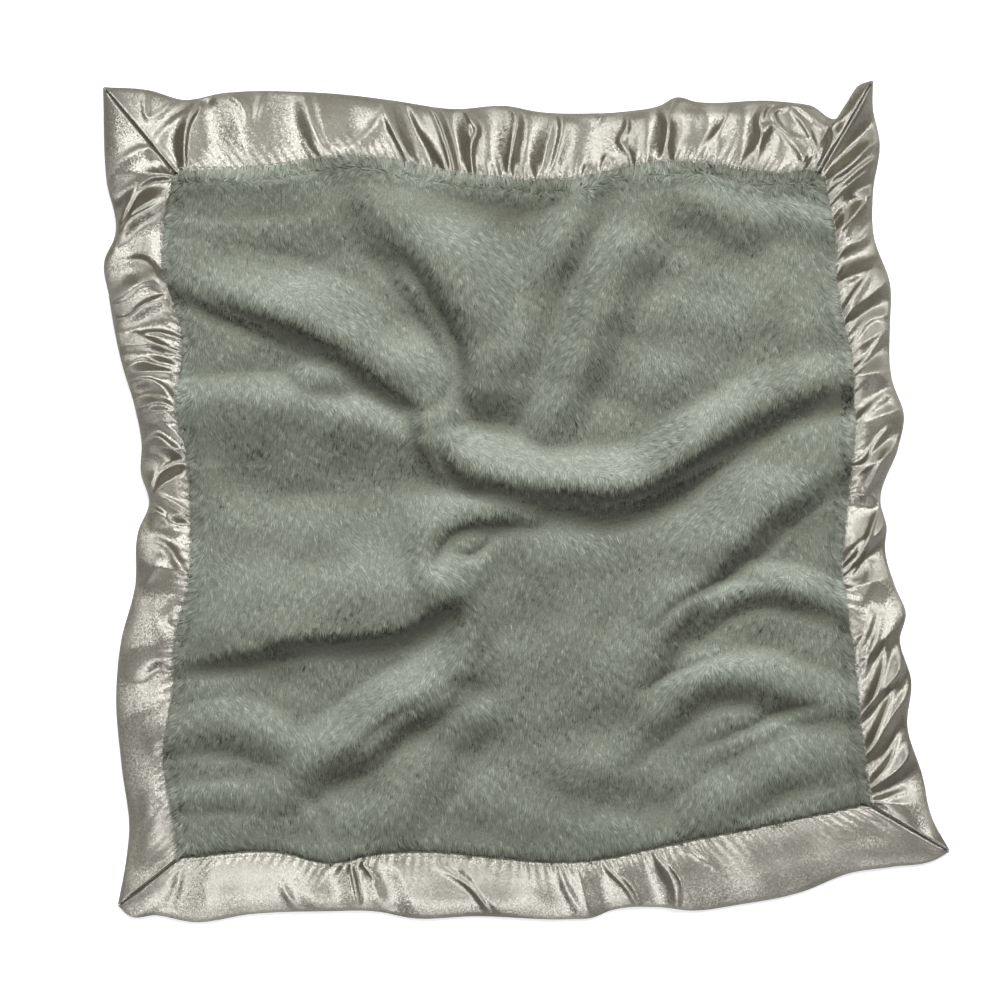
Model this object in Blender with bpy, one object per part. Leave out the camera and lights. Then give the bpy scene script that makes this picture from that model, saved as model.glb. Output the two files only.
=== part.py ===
"""Comfort blanket lovey: two squares of plush laid back to back and bound with mitred satin.

Metres, +Z up. The blanket lies rumpled on a flat surface at Z = 0, its face upwards, and its origin is
under the middle of its outline. Written for Blender 4.5.
"""

import math

import bmesh
import bpy
import numpy as np
from mathutils.geometry import delaunay_2d_cdt

# The blanket as it is cut and sewn, flat
FLAT_SIDE = 0.381
BINDING_WIDTH = 0.032
SEAM_ALLOWANCE = 0.010
STITCH_INSET = 0.0022

# What it is made of
PLUSH_THICKNESS = 0.0043
HEM_THICKNESS = 0.0009
SATIN_THICKNESS = 0.0005
THREAD_DIAMETER = 0.0005

# How it lies
FOLD_HEIGHT = 0.019
PUCKER_HEIGHT = 0.0034
PUFF_HEIGHT = 0.0050
EDGE_HEIGHT = 0.0014
REST_CUT = 0.0005
MITRE_RISE = 0.0016
PILE_RIM = 0.007
PRESSED_MARGIN = 0.002
CLEARANCE = 0.0003

# Rumpling draws each side of the blanket in to this share of its flat length
DRAWN_IN_SHARE = 0.957
HALF_PANEL = 0.5 * DRAWN_IN_SHARE * (FLAT_SIDE - 2 * BINDING_WIDTH)

# Heights in the seam, where the stitches press every layer together
MIDDLE = PLUSH_THICKNESS + 0.5 * CLEARANCE
FACE_HEM_TOP = MIDDLE + 0.5 * CLEARANCE + HEM_THICKNESS
BACK_HEM_LOW = MIDDLE - 0.5 * CLEARANCE - HEM_THICKNESS
UPPER_SATIN_LOW = FACE_HEM_TOP + CLEARANCE
UPPER_SATIN_TOP = UPPER_SATIN_LOW + SATIN_THICKNESS
LOWER_SATIN_TOP = BACK_HEM_LOW - CLEARANCE
LOWER_SATIN_LOW = LOWER_SATIN_TOP - SATIN_THICKNESS

# Shares of the binding's width, from its sewn inner edge out to its fold
STITCH_SHARE = STITCH_INSET / BINDING_WIDTH
HEM_SHARE = SEAM_ALLOWANCE / BINDING_WIDTH
PRESSED_SHARE = PRESSED_MARGIN / BINDING_WIDTH
SLOT_SHARE = HEM_SHARE + 3 * CLEARANCE / BINDING_WIDTH

# Edges that turn more than this are shaded as sharp
SHARP_ANGLE = math.radians(50)

# Fineness of the panel's folds: the grid that they are worked out on, and the share of it that is kept
SHEET_STEPS = 130
KEPT_SHARE = 0.0262

CORNERS = ("top_left", "top_right", "bottom_right", "bottom_left")
SIDES = ("top", "right", "bottom", "left")
SIDE_ENDS = {
    "top": ("top_left", "top_right"),
    "right": ("top_right", "bottom_right"),
    "bottom": ("bottom_left", "bottom_right"),
    "left": ("top_left", "bottom_left"),
}
OUTWARD_SHARES = {"top": (0, 1), "right": (1, 0), "bottom": (0, -1), "left": (-1, 0)}

# Where the plush meets the satin at each corner, as shares of half the panel
SEAM_CORNER_SHARES = {
    "top_left": (-1.053, 0.982),
    "top_right": (0.881, 0.985),
    "bottom_right": (1.026, -0.912),
    "bottom_left": (-1.044, -1.073),
}

# The binding's outer corner from there, as shares of the binding's width
OUTER_CORNER_SHARES = {
    "top_left": (-1.07, 1.27),
    "top_right": (0.77, 1.34),
    "bottom_right": (1.20, -0.69),
    "bottom_left": (-0.90, -0.70),
}

# How high each corner's mitre is gathered up, as a share of the pucker height
CORNER_LIFT_SHARES = {"top_left": 0.25, "top_right": 0.60, "bottom_right": 0.25, "bottom_left": 0.25}

# How far the seam bows out from the straight line between its corners: (share of the line from the
# left or the top, share of half the panel)
SEAM_BOW_SHARES = {
    "top": (
        (0, 0), (0.145, 0.014), (0.285, 0.045), (0.43, -0.005), (0.52, -0.025), (0.60, -0.027),
        (0.72, 0.018), (0.82, 0.026), (0.90, -0.004), (1, 0),
    ),
    "right": (
        (0, 0), (0.11, 0.022), (0.18, 0.014), (0.30, 0.043), (0.42, 0.033), (0.54, -0.008),
        (0.63, -0.034), (0.74, -0.017), (0.86, -0.014), (1, 0),
    ),
    "bottom": (
        (0, 0), (0.15, 0.008), (0.22, 0.053), (0.28, 0.036), (0.39, 0.047), (0.46, 0.073),
        (0.54, 0.100), (0.62, 0.102), (0.71, 0.075), (0.81, 0.051), (0.92, 0.021), (1, 0),
    ),
    "left": (
        (0, 0), (0.10, 0.036), (0.17, 0.020), (0.21, -0.014), (0.28, -0.020), (0.33, -0.004),
        (0.42, -0.038), (0.51, -0.047), (0.59, -0.045), (0.68, 0), (0.77, 0.012), (0.85, 0.042),
        (0.92, 0.016), (1, 0),
    ),
}

# How far the folded edge bows out from the straight line between the outer corners: (share of the
# line, share of the binding's width)
EDGE_BOW_SHARES = {
    "top": (
        (0, 0), (0.06, -0.05), (0.105, -0.19), (0.155, -0.10), (0.26, -0.09), (0.32, -0.14),
        (0.375, -0.22), (0.455, -0.35), (0.53, -0.32), (0.56, -0.39), (0.63, -0.43), (0.685, -0.40),
        (0.725, -0.32), (0.745, -0.21), (0.77, -0.27), (0.87, -0.27), (0.92, -0.34), (0.96, -0.48),
        (0.978, -0.11), (1, 0),
    ),
    "right": (
        (0, 0), (0.03, -0.03), (0.08, 0.02), (0.145, -0.15), (0.20, -0.20), (0.265, -0.04),
        (0.32, -0.11), (0.385, -0.16), (0.435, -0.03), (0.475, -0.16), (0.545, -0.49), (0.58, -0.44),
        (0.605, -0.49), (0.66, -0.39), (0.69, -0.29), (0.725, -0.41), (0.777, -0.31), (0.84, -0.43),
        (0.90, -0.29), (0.96, -0.20), (1, 0),
    ),
    "bottom": (
        (0, 0), (0.01, 0.13), (0.047, 0.18), (0.09, 0.31), (0.16, 0.25), (0.25, 0.28), (0.315, 0.34),
        (0.35, 0.45), (0.43, 0.49), (0.545, 0.62), (0.57, 0.62), (0.59, 0.54), (0.65, 0.53),
        (0.69, 0.61), (0.745, 0.57), (0.82, 0.45), (0.88, 0.22), (0.93, 0.17), (0.984, 0.10), (1, 0),
    ),
    "left": (
        (0, 0), (0.11, -0.02), (0.185, -0.12), (0.21, 0.02), (0.255, -0.03), (0.335, -0.19),
        (0.39, -0.37), (0.435, -0.46), (0.47, -0.44), (0.51, -0.55), (0.54, -0.40), (0.61, -0.33),
        (0.68, -0.11), (0.745, -0.03), (0.83, -0.09), (0.91, -0.18), (0.945, -0.13), (1, 0),
    ),
}

# The creases of each binding, crest and hollow by turns: (share of the seam, share of the folded
# edge, share of the pucker height)
CREASE_SHARES = {
    "top": (
        (0.006, 0.070, 0.10), (0.013, 0.122, 0.60), (0.058, 0.140, 0.10), (0.120, 0.168, 0.60),
        (0.198, 0.240, 0.00), (0.245, 0.276, 0.60), (0.297, 0.319, 0.15), (0.366, 0.371, 0.70),
        (0.397, 0.393, 0.00), (0.425, 0.423, 0.90), (0.445, 0.451, 0.00), (0.461, 0.475, 0.80),
        (0.488, 0.503, 0.15), (0.516, 0.536, 0.80), (0.540, 0.558, 0.00), (0.563, 0.589, 0.80),
        (0.616, 0.640, 0.00), (0.700, 0.681, 0.80), (0.728, 0.709, 0.10), (0.753, 0.740, 0.90),
        (0.788, 0.774, 0.00), (0.834, 0.813, 0.35), (0.872, 0.834, 0.00), (0.897, 0.860, 0.90),
        (0.933, 0.893, 0.10), (0.966, 0.925, 0.70), (0.986, 0.955, 0.30),
    ),
    "right": (
        (0.004, 0.050, 0.00), (0.020, 0.077, 0.90), (0.048, 0.105, 0.75), (0.064, 0.129, 0.00),
        (0.104, 0.148, 0.90), (0.119, 0.196, 0.60), (0.148, 0.226, 0.10), (0.175, 0.243, 0.70),
        (0.234, 0.258, 0.80), (0.247, 0.284, 0.00), (0.285, 0.320, 0.75), (0.307, 0.349, 0.20),
        (0.326, 0.378, 0.60), (0.350, 0.404, 0.20), (0.403, 0.425, 0.90), (0.460, 0.453, 0.00),
        (0.482, 0.479, 0.80), (0.505, 0.544, 0.70), (0.526, 0.560, 0.10), (0.620, 0.575, 1.00),
        (0.640, 0.603, 0.00), (0.661, 0.642, 0.60), (0.696, 0.674, 0.10), (0.775, 0.703, 0.70),
        (0.791, 0.726, 0.00), (0.858, 0.746, 1.00), (0.874, 0.768, 0.00), (0.925, 0.791, 1.00),
        (0.941, 0.836, 0.00), (0.976, 0.862, 0.90), (0.988, 0.892, 0.10), (0.995, 0.934, 0.60),
    ),
    "bottom": (
        (0.013, 0.072, 0.15), (0.050, 0.105, 0.60), (0.130, 0.173, 0.30), (0.174, 0.240, 0.50),
        (0.215, 0.267, 0.10), (0.244, 0.288, 0.70), (0.258, 0.300, 0.20), (0.270, 0.321, 0.50),
        (0.285, 0.339, 0.10), (0.308, 0.363, 0.50), (0.378, 0.445, 0.00), (0.400, 0.465, 0.60),
        (0.495, 0.513, 0.40), (0.536, 0.546, 0.00), (0.575, 0.567, 0.70), (0.609, 0.584, 0.10),
        (0.629, 0.620, 0.60), (0.670, 0.645, 0.00), (0.702, 0.673, 0.90), (0.758, 0.714, 0.30),
        (0.816, 0.784, 0.45), (0.889, 0.856, 0.20), (0.940, 0.916, 0.40), (0.977, 0.964, 0.15),
    ),
    "left": (
        (0.003, 0.111, 0.60), (0.012, 0.144, 0.00), (0.030, 0.187, 0.90), (0.070, 0.205, 0.10),
        (0.126, 0.226, 0.00), (0.165, 0.260, 0.60), (0.180, 0.285, 0.80), (0.219, 0.303, 0.10),
        (0.253, 0.318, 0.50), (0.268, 0.330, 0.00), (0.290, 0.353, 0.90), (0.330, 0.377, 0.00),
        (0.347, 0.401, 0.80), (0.370, 0.413, 0.30), (0.405, 0.438, 0.80), (0.418, 0.474, 0.00),
        (0.432, 0.505, 1.00), (0.500, 0.520, 0.70), (0.513, 0.548, 0.00), (0.585, 0.578, 0.80),
        (0.609, 0.640, 0.30), (0.682, 0.688, 0.50), (0.724, 0.737, 0.10), (0.770, 0.774, 0.50),
        (0.859, 0.872, 0.00), (0.918, 0.914, 0.40), (0.982, 0.957, 0.10),
    ),
}

# The rumpled ridges of the whole blanket. Each has the width of its gentle side and of its steep
# side, as shares of half the panel, and its crest: (x, y) as shares of half the panel and the height
# as a share of the fold height. The steep side is on the right of a walk along the crest.
RIDGE_SHARES = (
    # The broad tongue that falls from the top left to the nose in the middle
    (0.210, 0.150, ((-0.50, 0.98, 0.30), (-0.40, 0.84, 0.62), (-0.27, 0.72, 0.78), (-0.19, 0.58, 0.80),
                    (-0.14, 0.45, 0.78), (-0.13, 0.36, 0.72))),
    # The ridge under it, from the left seam to the nose
    (0.190, 0.085, ((-1.11, 0.69, 0.22), (-0.84, 0.59, 0.62), (-0.67, 0.53, 0.70), (-0.54, 0.46, 0.72),
                    (-0.42, 0.38, 0.70), (-0.31, 0.31, 0.55))),
    # The low band left of the nose, and the bump above it
    (0.120, 0.200, ((-1.06, 0.28, 0.35), (-0.84, 0.29, 0.45), (-0.65, 0.27, 0.42), (-0.47, 0.21, 0.40),
                    (-0.30, 0.16, 0.35))),
    (0.100, 0.100, ((-0.65, 0.36, 0.34), (-0.58, 0.36, 0.34))),
    # The longest ridge, from the nose to the right edge, and the broad slope above its right half
    (0.150, 0.120, ((-0.28, 0.22, 0.70), (-0.26, 0.17, 0.85), (-0.20, 0.12, 0.90), (-0.08, 0.08, 0.90),
                    (0.10, 0.05, 0.92), (0.25, 0.04, 0.95), (0.39, 0.08, 0.95), (0.54, 0.19, 0.90),
                    (0.68, 0.28, 0.80), (0.83, 0.34, 0.70), (0.98, 0.37, 0.50), (1.13, 0.38, 0.25))),
    (0.300, 0.300, ((0.23, 0.26, 0.20), (0.52, 0.44, 0.38), (0.77, 0.52, 0.42), (1.04, 0.55, 0.28))),
    # The hill from the left seam, the hook at its end over the middle pocket, and the hook's far side
    (0.420, 0.085, ((-1.11, -0.48, 0.22), (-0.90, -0.44, 0.60), (-0.68, -0.39, 0.76),
                    (-0.52, -0.38, 0.82), (-0.38, -0.36, 0.82), (-0.27, -0.30, 0.78))),
    (0.130, 0.070, ((-0.27, -0.28, 0.75), (-0.30, -0.19, 0.70), (-0.27, -0.10, 0.65),
                    (-0.20, -0.05, 0.60), (-0.08, -0.03, 0.52), (0.01, -0.04, 0.35))),
    (0.110, 0.110, ((-0.25, -0.24, 0.70), (-0.19, -0.31, 0.62), (-0.17, -0.40, 0.55),
                    (-0.20, -0.49, 0.50))),
    # The ridges under it, down to the lower left corner
    (0.140, 0.130, ((-0.74, -0.86, 0.25), (-0.55, -0.74, 0.48), (-0.41, -0.64, 0.58),
                    (-0.29, -0.57, 0.58), (-0.17, -0.50, 0.45))),
    (0.120, 0.110, ((-1.09, -0.70, 0.25), (-0.91, -0.68, 0.38), (-0.78, -0.71, 0.32),
                    (-0.69, -0.80, 0.22))),
    (0.080, 0.090, ((-1.08, -0.90, 0.15), (-0.90, -0.88, 0.20), (-0.80, -0.90, 0.12))),
    (0.150, 0.140, ((-0.45, -1.05, 0.20), (-0.36, -0.90, 0.32), (-0.27, -0.79, 0.32),
                    (-0.17, -0.66, 0.25))),
    # The broad swell down the middle
    (0.230, 0.230, ((0.06, -0.08, 0.22), (0.13, -0.36, 0.34), (0.13, -0.66, 0.32), (0.11, -1.05, 0.22))),
    # The three ridges that fan out to the right, and the low one under them
    (0.200, 0.115, ((0.34, -0.56, 0.32), (0.40, -0.40, 0.50), (0.52, -0.23, 0.62), (0.65, -0.08, 0.62),
                    (0.80, 0.05, 0.55), (0.99, 0.14, 0.38), (1.13, 0.17, 0.20))),
    (0.090, 0.090, ((0.51, -0.36, 0.25), (0.59, -0.29, 0.42), (0.72, -0.25, 0.50), (0.86, -0.28, 0.45),
                    (1.01, -0.35, 0.25))),
    (0.120, 0.110, ((0.32, -0.72, 0.22), (0.43, -0.61, 0.38), (0.54, -0.54, 0.46), (0.68, -0.53, 0.46),
                    (0.83, -0.58, 0.42), (1.02, -0.62, 0.25))),
    (0.140, 0.120, ((0.50, -0.94, 0.18), (0.66, -0.86, 0.28), (0.83, -0.79, 0.30), (1.02, -0.75, 0.20))),
    # The two ridges that run up from the nose to the top seam
    (0.100, 0.110, ((-0.03, 0.45, 0.30), (0.03, 0.62, 0.38), (0.12, 0.81, 0.38), (0.20, 0.96, 0.20))),
    (0.120, 0.150, ((0.07, 0.20, 0.40), (0.14, 0.38, 0.50), (0.22, 0.57, 0.52), (0.31, 0.77, 0.45),
                    (0.38, 0.96, 0.22))),
    # Low swells along the top seam
    (0.120, 0.200, ((0.45, 0.91, 0.25), (0.55, 0.89, 0.32), (0.65, 0.86, 0.28))),
    (0.080, 0.120, ((0.78, 0.88, 0.18), (0.86, 0.84, 0.22), (0.95, 0.80, 0.18))),
    (0.090, 0.150, ((-1.08, 0.96, 0.20), (-0.90, 0.95, 0.25), (-0.68, 0.95, 0.20))),
    (0.090, 0.140, ((-0.28, 0.97, 0.20), (-0.08, 0.95, 0.28), (0.10, 0.96, 0.22))),
    # The gathered corner at the top right
    (0.070, 0.070, ((0.88, 1.00, 0.12), (0.97, 1.13, 0.32), (1.04, 1.26, 0.45))),
)
# The power with which ridges that meet are blended: a higher one keeps more of the higher ridge
RIDGE_BLEND = 3
# At its own width from its crest, a ridge has fallen to this share of its height
RIDGE_FOOT_SHARE = 0.10
# Rumples lower than this share of the fold height lie flat
LYING_SHARE = 0.09
# Each stretch of a crest is rounded into this many straight steps
CREST_STEPS = 6
# The stitched binding holds the rumples down to this share of their height
HELD_SHARE = 0.6

# Across the binding, from its seam to its folded edge, as shares of what the seam leaves free
UPPER_SHARES = (0.45, 0.82)
LOWER_SHARES = (0.80, 0.20)
INNER_EDGE_SHARE = 0.86
# A crease is this much of its height where the satin starts to turn under
BROW_PUCKER_SHARE = 0.6


def hermite(table, at):
    """A smooth curve through the table's (place, value) pairs, read at the places in `at`."""
    places, values = np.array(table, float).T
    slopes = np.gradient(values, places)
    at = np.asarray(at, float)
    index = np.clip(np.searchsorted(places, at, side="right") - 1, 0, len(places) - 2)
    span = places[index + 1] - places[index]
    u = (at - places[index]) / span
    return (
        (2 * u**3 - 3 * u**2 + 1) * values[index]
        + (u**3 - 2 * u**2 + u) * span * slopes[index]
        + (3 * u**2 - 2 * u**3) * values[index + 1]
        + (u**3 - u**2) * span * slopes[index + 1]
    )


def eased(u):
    """0 to 1 with level ends."""
    u = np.clip(u, 0, 1)
    return u * u * (3 - 2 * u)


def seam_corner(corner):
    return HALF_PANEL * np.array(SEAM_CORNER_SHARES[corner])


def outer_corner(corner):
    return seam_corner(corner) + BINDING_WIDTH * np.array(OUTER_CORNER_SHARES[corner])


def bowed(start, end, outward, bow, share):
    """Points at these shares of the line from start to end, each moved outwards by its bow."""
    share = np.asarray(share, float)[..., None]
    return start + (end - start) * share + np.array(outward) * np.asarray(bow)[..., None]


def seam_point(side, share):
    start, end = (seam_corner(corner) for corner in SIDE_ENDS[side])
    bow = HALF_PANEL * hermite(SEAM_BOW_SHARES[side], share)
    return bowed(start, end, OUTWARD_SHARES[side], bow, share)


def edge_point(side, share):
    start, end = (outer_corner(corner) for corner in SIDE_ENDS[side])
    bow = BINDING_WIDTH * hermite(EDGE_BOW_SHARES[side], share)
    return bowed(start, end, OUTWARD_SHARES[side], bow, share)


def strip_point(side, share, across):
    """A point of a binding in plan: its share along the side, and its share across from the seam."""
    across = np.asarray(across, float)[..., None]
    return (1 - across) * seam_point(side, share) + across * edge_point(side, share)


def rounded(ridge):
    """The ridge with its crest as a smooth line through its points."""
    gentle, steep, crest = ridge
    knots = np.arange(len(crest))
    fine = np.linspace(0, len(crest) - 1, CREST_STEPS * (len(crest) - 1) + 1)
    line = [hermite(list(zip(knots, column)), fine) for column in zip(*crest)]
    return gentle, steep, np.stack(line, axis=1)


RIDGES = [rounded(ridge) for ridge in RIDGE_SHARES]


def ridge_lift(points, ridge):
    """How high one ridge lifts each plan point, as a share of the fold height."""
    gentle, steep, crest = ridge
    start = crest[:-1, :2]
    run, rise = np.diff(crest[:, :2], axis=0), np.diff(crest[:, 2])
    length = np.linalg.norm(run, axis=1)
    offset = points[:, None] - start
    along = np.clip((offset * run).sum(axis=2) / (length * length), 0, 1)
    away = np.linalg.norm(offset - along[..., None] * run, axis=2)
    to_left = (run[:, 0] * offset[..., 1] - run[:, 1] * offset[..., 0]) / length
    turned = np.divide(to_left, away, out=np.zeros_like(away), where=away > 0)
    reach = away / (steep + (gentle - steep) * 0.5 * (1 + turned))
    lift = (crest[:-1, 2] + rise * along) * RIDGE_FOOT_SHARE ** (reach * reach)
    nearest = away.argmin(axis=1)
    return lift[np.arange(len(points)), nearest]


def relief(points):
    """The height that the rumples lift the blanket to at each plan point."""
    shares = np.atleast_2d(points) / HALF_PANEL
    total = sum(ridge_lift(shares, ridge) ** RIDGE_BLEND for ridge in RIDGES)
    return FOLD_HEIGHT * np.maximum(total ** (1 / RIDGE_BLEND) - LYING_SHARE, 0)


def end_share(side):
    """The share of a side by which a binding stops short of its mitre, to leave the clearance."""
    start, end = (seam_corner(corner) for corner in SIDE_ENDS[side])
    return 0.5 * CLEARANCE / (math.sqrt(0.5) * np.linalg.norm(end - start))


def creases(side):
    """The creases of a binding with its two mitred ends."""
    first, last = SIDE_ENDS[side]
    margin = end_share(side)
    inner = [row for row in CREASE_SHARES[side] if margin < row[0] < 1 - margin]
    return np.array(
        [
            (margin, margin, CORNER_LIFT_SHARES[first]),
            *inner,
            (1 - margin, 1 - margin, CORNER_LIFT_SHARES[last]),
        ]
    )


def seam_knots(side):
    """The shares of the side at which the seam bends up or down: every second crease."""
    inner = creases(side)[2:-2:2, 0]
    return np.concatenate([[0], inner, [1]])


def seam_height(side, share):
    """The lift of the seam, straight from knot to knot, so that every layer follows it alike."""
    knots = seam_knots(side)
    return np.interp(share, knots, HELD_SHARE * relief(seam_point(side, knots)))


def strip_lift(side, share, across):
    """The lift of a binding: that of the seam over the hem, and the rumples' own at its edge."""
    out = float(eased((across - SLOT_SHARE) / (1 - SLOT_SHARE)))
    own = HELD_SHARE * relief(strip_point(side, np.array([share]), np.array([across])))[0]
    return (1 - out) * float(seam_height(side, share)) + out * own


def outline_middle():
    """The middle of the outline's bounding rectangle."""
    edge = np.concatenate([edge_point(side, creases(side)[:, 1]) for side in SIDES])
    return 0.5 * (edge.min(axis=0) + edge.max(axis=0))


ORIGIN = outline_middle()


def material(name, colour, roughness, sheen=0.0, anisotropic=0.0):
    """A plain cloth finish."""
    made = bpy.data.materials.new(name)
    made.use_nodes = True
    shader = made.node_tree.nodes["Principled BSDF"]
    shader.inputs["Base Color"].default_value = (*colour, 1)
    shader.inputs["Roughness"].default_value = roughness
    shader.inputs["Metallic"].default_value = 0
    shader.inputs["Sheen Weight"].default_value = sheen
    shader.inputs["Anisotropic"].default_value = anisotropic
    return made


def add_mesh(name, bm, finish):
    """Puts a finished bmesh into the scene as one object, with the origin under the outline."""
    bmesh.ops.translate(bm, verts=bm.verts, vec=(-ORIGIN[0], -ORIGIN[1], 0))
    bmesh.ops.recalc_face_normals(bm, faces=bm.faces)
    mesh = bpy.data.meshes.new(name)
    bm.to_mesh(mesh)
    bm.free()
    mesh.materials.append(finish)
    mesh.shade_smooth()
    mesh.set_sharp_from_angle(angle=SHARP_ANGLE)
    made = bpy.data.objects.new(name, mesh)
    bpy.context.scene.collection.objects.link(made)
    return made


def add_thread(name, points, finish):
    """A line of thread: a round tube along these points."""
    curve = bpy.data.curves.new(name, "CURVE")
    curve.dimensions = "3D"
    curve.bevel_depth = 0.5 * THREAD_DIAMETER
    curve.bevel_resolution = 1
    curve.use_fill_caps = True
    spline = curve.splines.new("POLY")
    spline.points.add(len(points) - 1)
    for knot, (x, y, z) in zip(spline.points, points):
        knot.co = (x - ORIGIN[0], y - ORIGIN[1], z, 1)
    curve.materials.append(finish)
    made = bpy.data.objects.new(name, curve)
    bpy.context.scene.collection.objects.link(made)
    return made


def panel_point(u, v):
    """A plan point of the plush: u across and v up, each from 0 to 1 between the four seams."""
    top, bottom = seam_point("top", u), seam_point("bottom", u)
    left, right = seam_point("left", 1 - v), seam_point("right", 1 - v)
    u, v = u[..., None], v[..., None]
    corners = (
        (1 - u) * v * seam_corner("top_left")
        + u * v * seam_corner("top_right")
        + u * (1 - v) * seam_corner("bottom_right")
        + (1 - u) * (1 - v) * seam_corner("bottom_left")
    )
    return v * top + (1 - v) * bottom + (1 - u) * left + u * right - corners


def rumpled_middle():
    """The rumpled sheet inside the pile's rim, thinned so that its triangles gather at the folds."""
    bm = bmesh.new()
    bmesh.ops.create_grid(bm, x_segments=SHEET_STEPS, y_segments=SHEET_STEPS, size=1)
    places = np.array([vert.co[:2] for vert in bm.verts])
    inside = 0.5 + 0.5 * places * (1 - PILE_RIM / HALF_PANEL)
    plan = panel_point(inside[:, 0], inside[:, 1])
    for vert, (x, y), z in zip(bm.verts, plan, relief(plan)):
        vert.co = (x / HALF_PANEL, y / HALF_PANEL, z / HALF_PANEL)
    mesh = bpy.data.meshes.new("sheet")
    bm.to_mesh(mesh)
    bm.free()
    sheet = bpy.data.objects.new("sheet", mesh)
    bpy.context.scene.collection.objects.link(sheet)
    thinning = sheet.modifiers.new("thinning", "DECIMATE")
    thinning.ratio = KEPT_SHARE
    bpy.context.view_layer.update()
    thinned = sheet.evaluated_get(bpy.context.evaluated_depsgraph_get()).to_mesh()
    plan = HALF_PANEL * np.array([vert.co[:2] for vert in thinned.vertices])
    edges = [tuple(edge.vertices) for edge in thinned.edges]
    bpy.data.objects.remove(sheet)
    return plan, edges


def seam_ring(across):
    """The plan points and lifts at the seam's knots, once round the panel, this far into the seam."""
    plan, lifts = [], []
    for side in SIDES:
        knots = seam_knots(side)[:-1]
        if side in ("bottom", "left"):
            knots = seam_knots(side)[:0:-1]
        plan.append(strip_point(side, knots, np.full(len(knots), across)))
        lifts.append(seam_height(side, knots))
    return np.concatenate(plan), np.concatenate(lifts)


def panel_sheet():
    """The triangles that both plush panels follow: (plan points, lifts, which are pressed, faces)."""
    middle, edges = rumpled_middle()
    seam, seam_lifts = seam_ring(-PRESSED_SHARE)
    hem, hem_lifts = seam_ring(HEM_SHARE)
    count = len(seam)
    first = len(middle)
    edges += [(first + k, first + (k + 1) % count) for k in range(count)]
    flat = [tuple(point) for point in np.concatenate([middle, seam])]
    shortest = CLEARANCE * CLEARANCE
    plan, _, faces, sources, _, _ = delaunay_2d_cdt(flat, edges, [], 1, shortest)
    plan = np.array(plan)
    came_from = {source: k for k, found in enumerate(sources) for source in found}
    ring = [came_from[first + k] for k in range(count)]
    faces = [tuple(face) for face in faces]
    last = len(plan)
    for k in range(count):
        after = (k + 1) % count
        faces.append((ring[k], ring[after], last + after))
        faces.append((ring[k], last + after, last + k))
    lifts = np.concatenate([relief(plan), hem_lifts])
    lifts[ring] = seam_lifts
    pressed = np.arange(len(lifts)) >= last
    pressed[ring] = True
    return np.concatenate([plan, hem]), lifts, pressed, faces


def add_layer(name, plan, low, high, faces, finish):
    """A closed sheet of cloth between two heights over the same plan triangles."""
    bm = bmesh.new()
    lower = [bm.verts.new((x, y, z)) for (x, y), z in zip(plan, low)]
    for face in faces:
        bm.faces.new([lower[k] for k in face])
    bmesh.ops.recalc_face_normals(bm, faces=bm.faces)
    height_over = {tuple(vert.co): z for vert, z in zip(lower, high)}
    extruded = bmesh.ops.extrude_face_region(bm, geom=list(bm.faces), use_keep_orig=True)
    for item in extruded["geom"]:
        if isinstance(item, bmesh.types.BMVert):
            item.co.z = height_over[tuple(item.co)]
    add_mesh(name, bm, finish)


def add_panels(finish):
    """The face and the back of the blanket."""
    plan, lifts, pressed, faces = panel_sheet()
    half_gap = 0.5 * CLEARANCE
    face_top = np.where(pressed, FACE_HEM_TOP, MIDDLE + half_gap + PLUSH_THICKNESS)
    back_low = np.where(pressed, BACK_HEM_LOW + lifts, np.maximum(lifts - REST_CUT, 0))
    add_layer("face_panel", plan, lifts + MIDDLE + half_gap, lifts + face_top, faces, finish)
    add_layer("back_panel", plan, back_low, lifts + MIDDLE - half_gap, faces, finish)


def free_share(share):
    """A share across the binding, from a share of what lies beyond the seam's slot."""
    return SLOT_SHARE + share * (1 - SLOT_SHARE)


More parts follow.
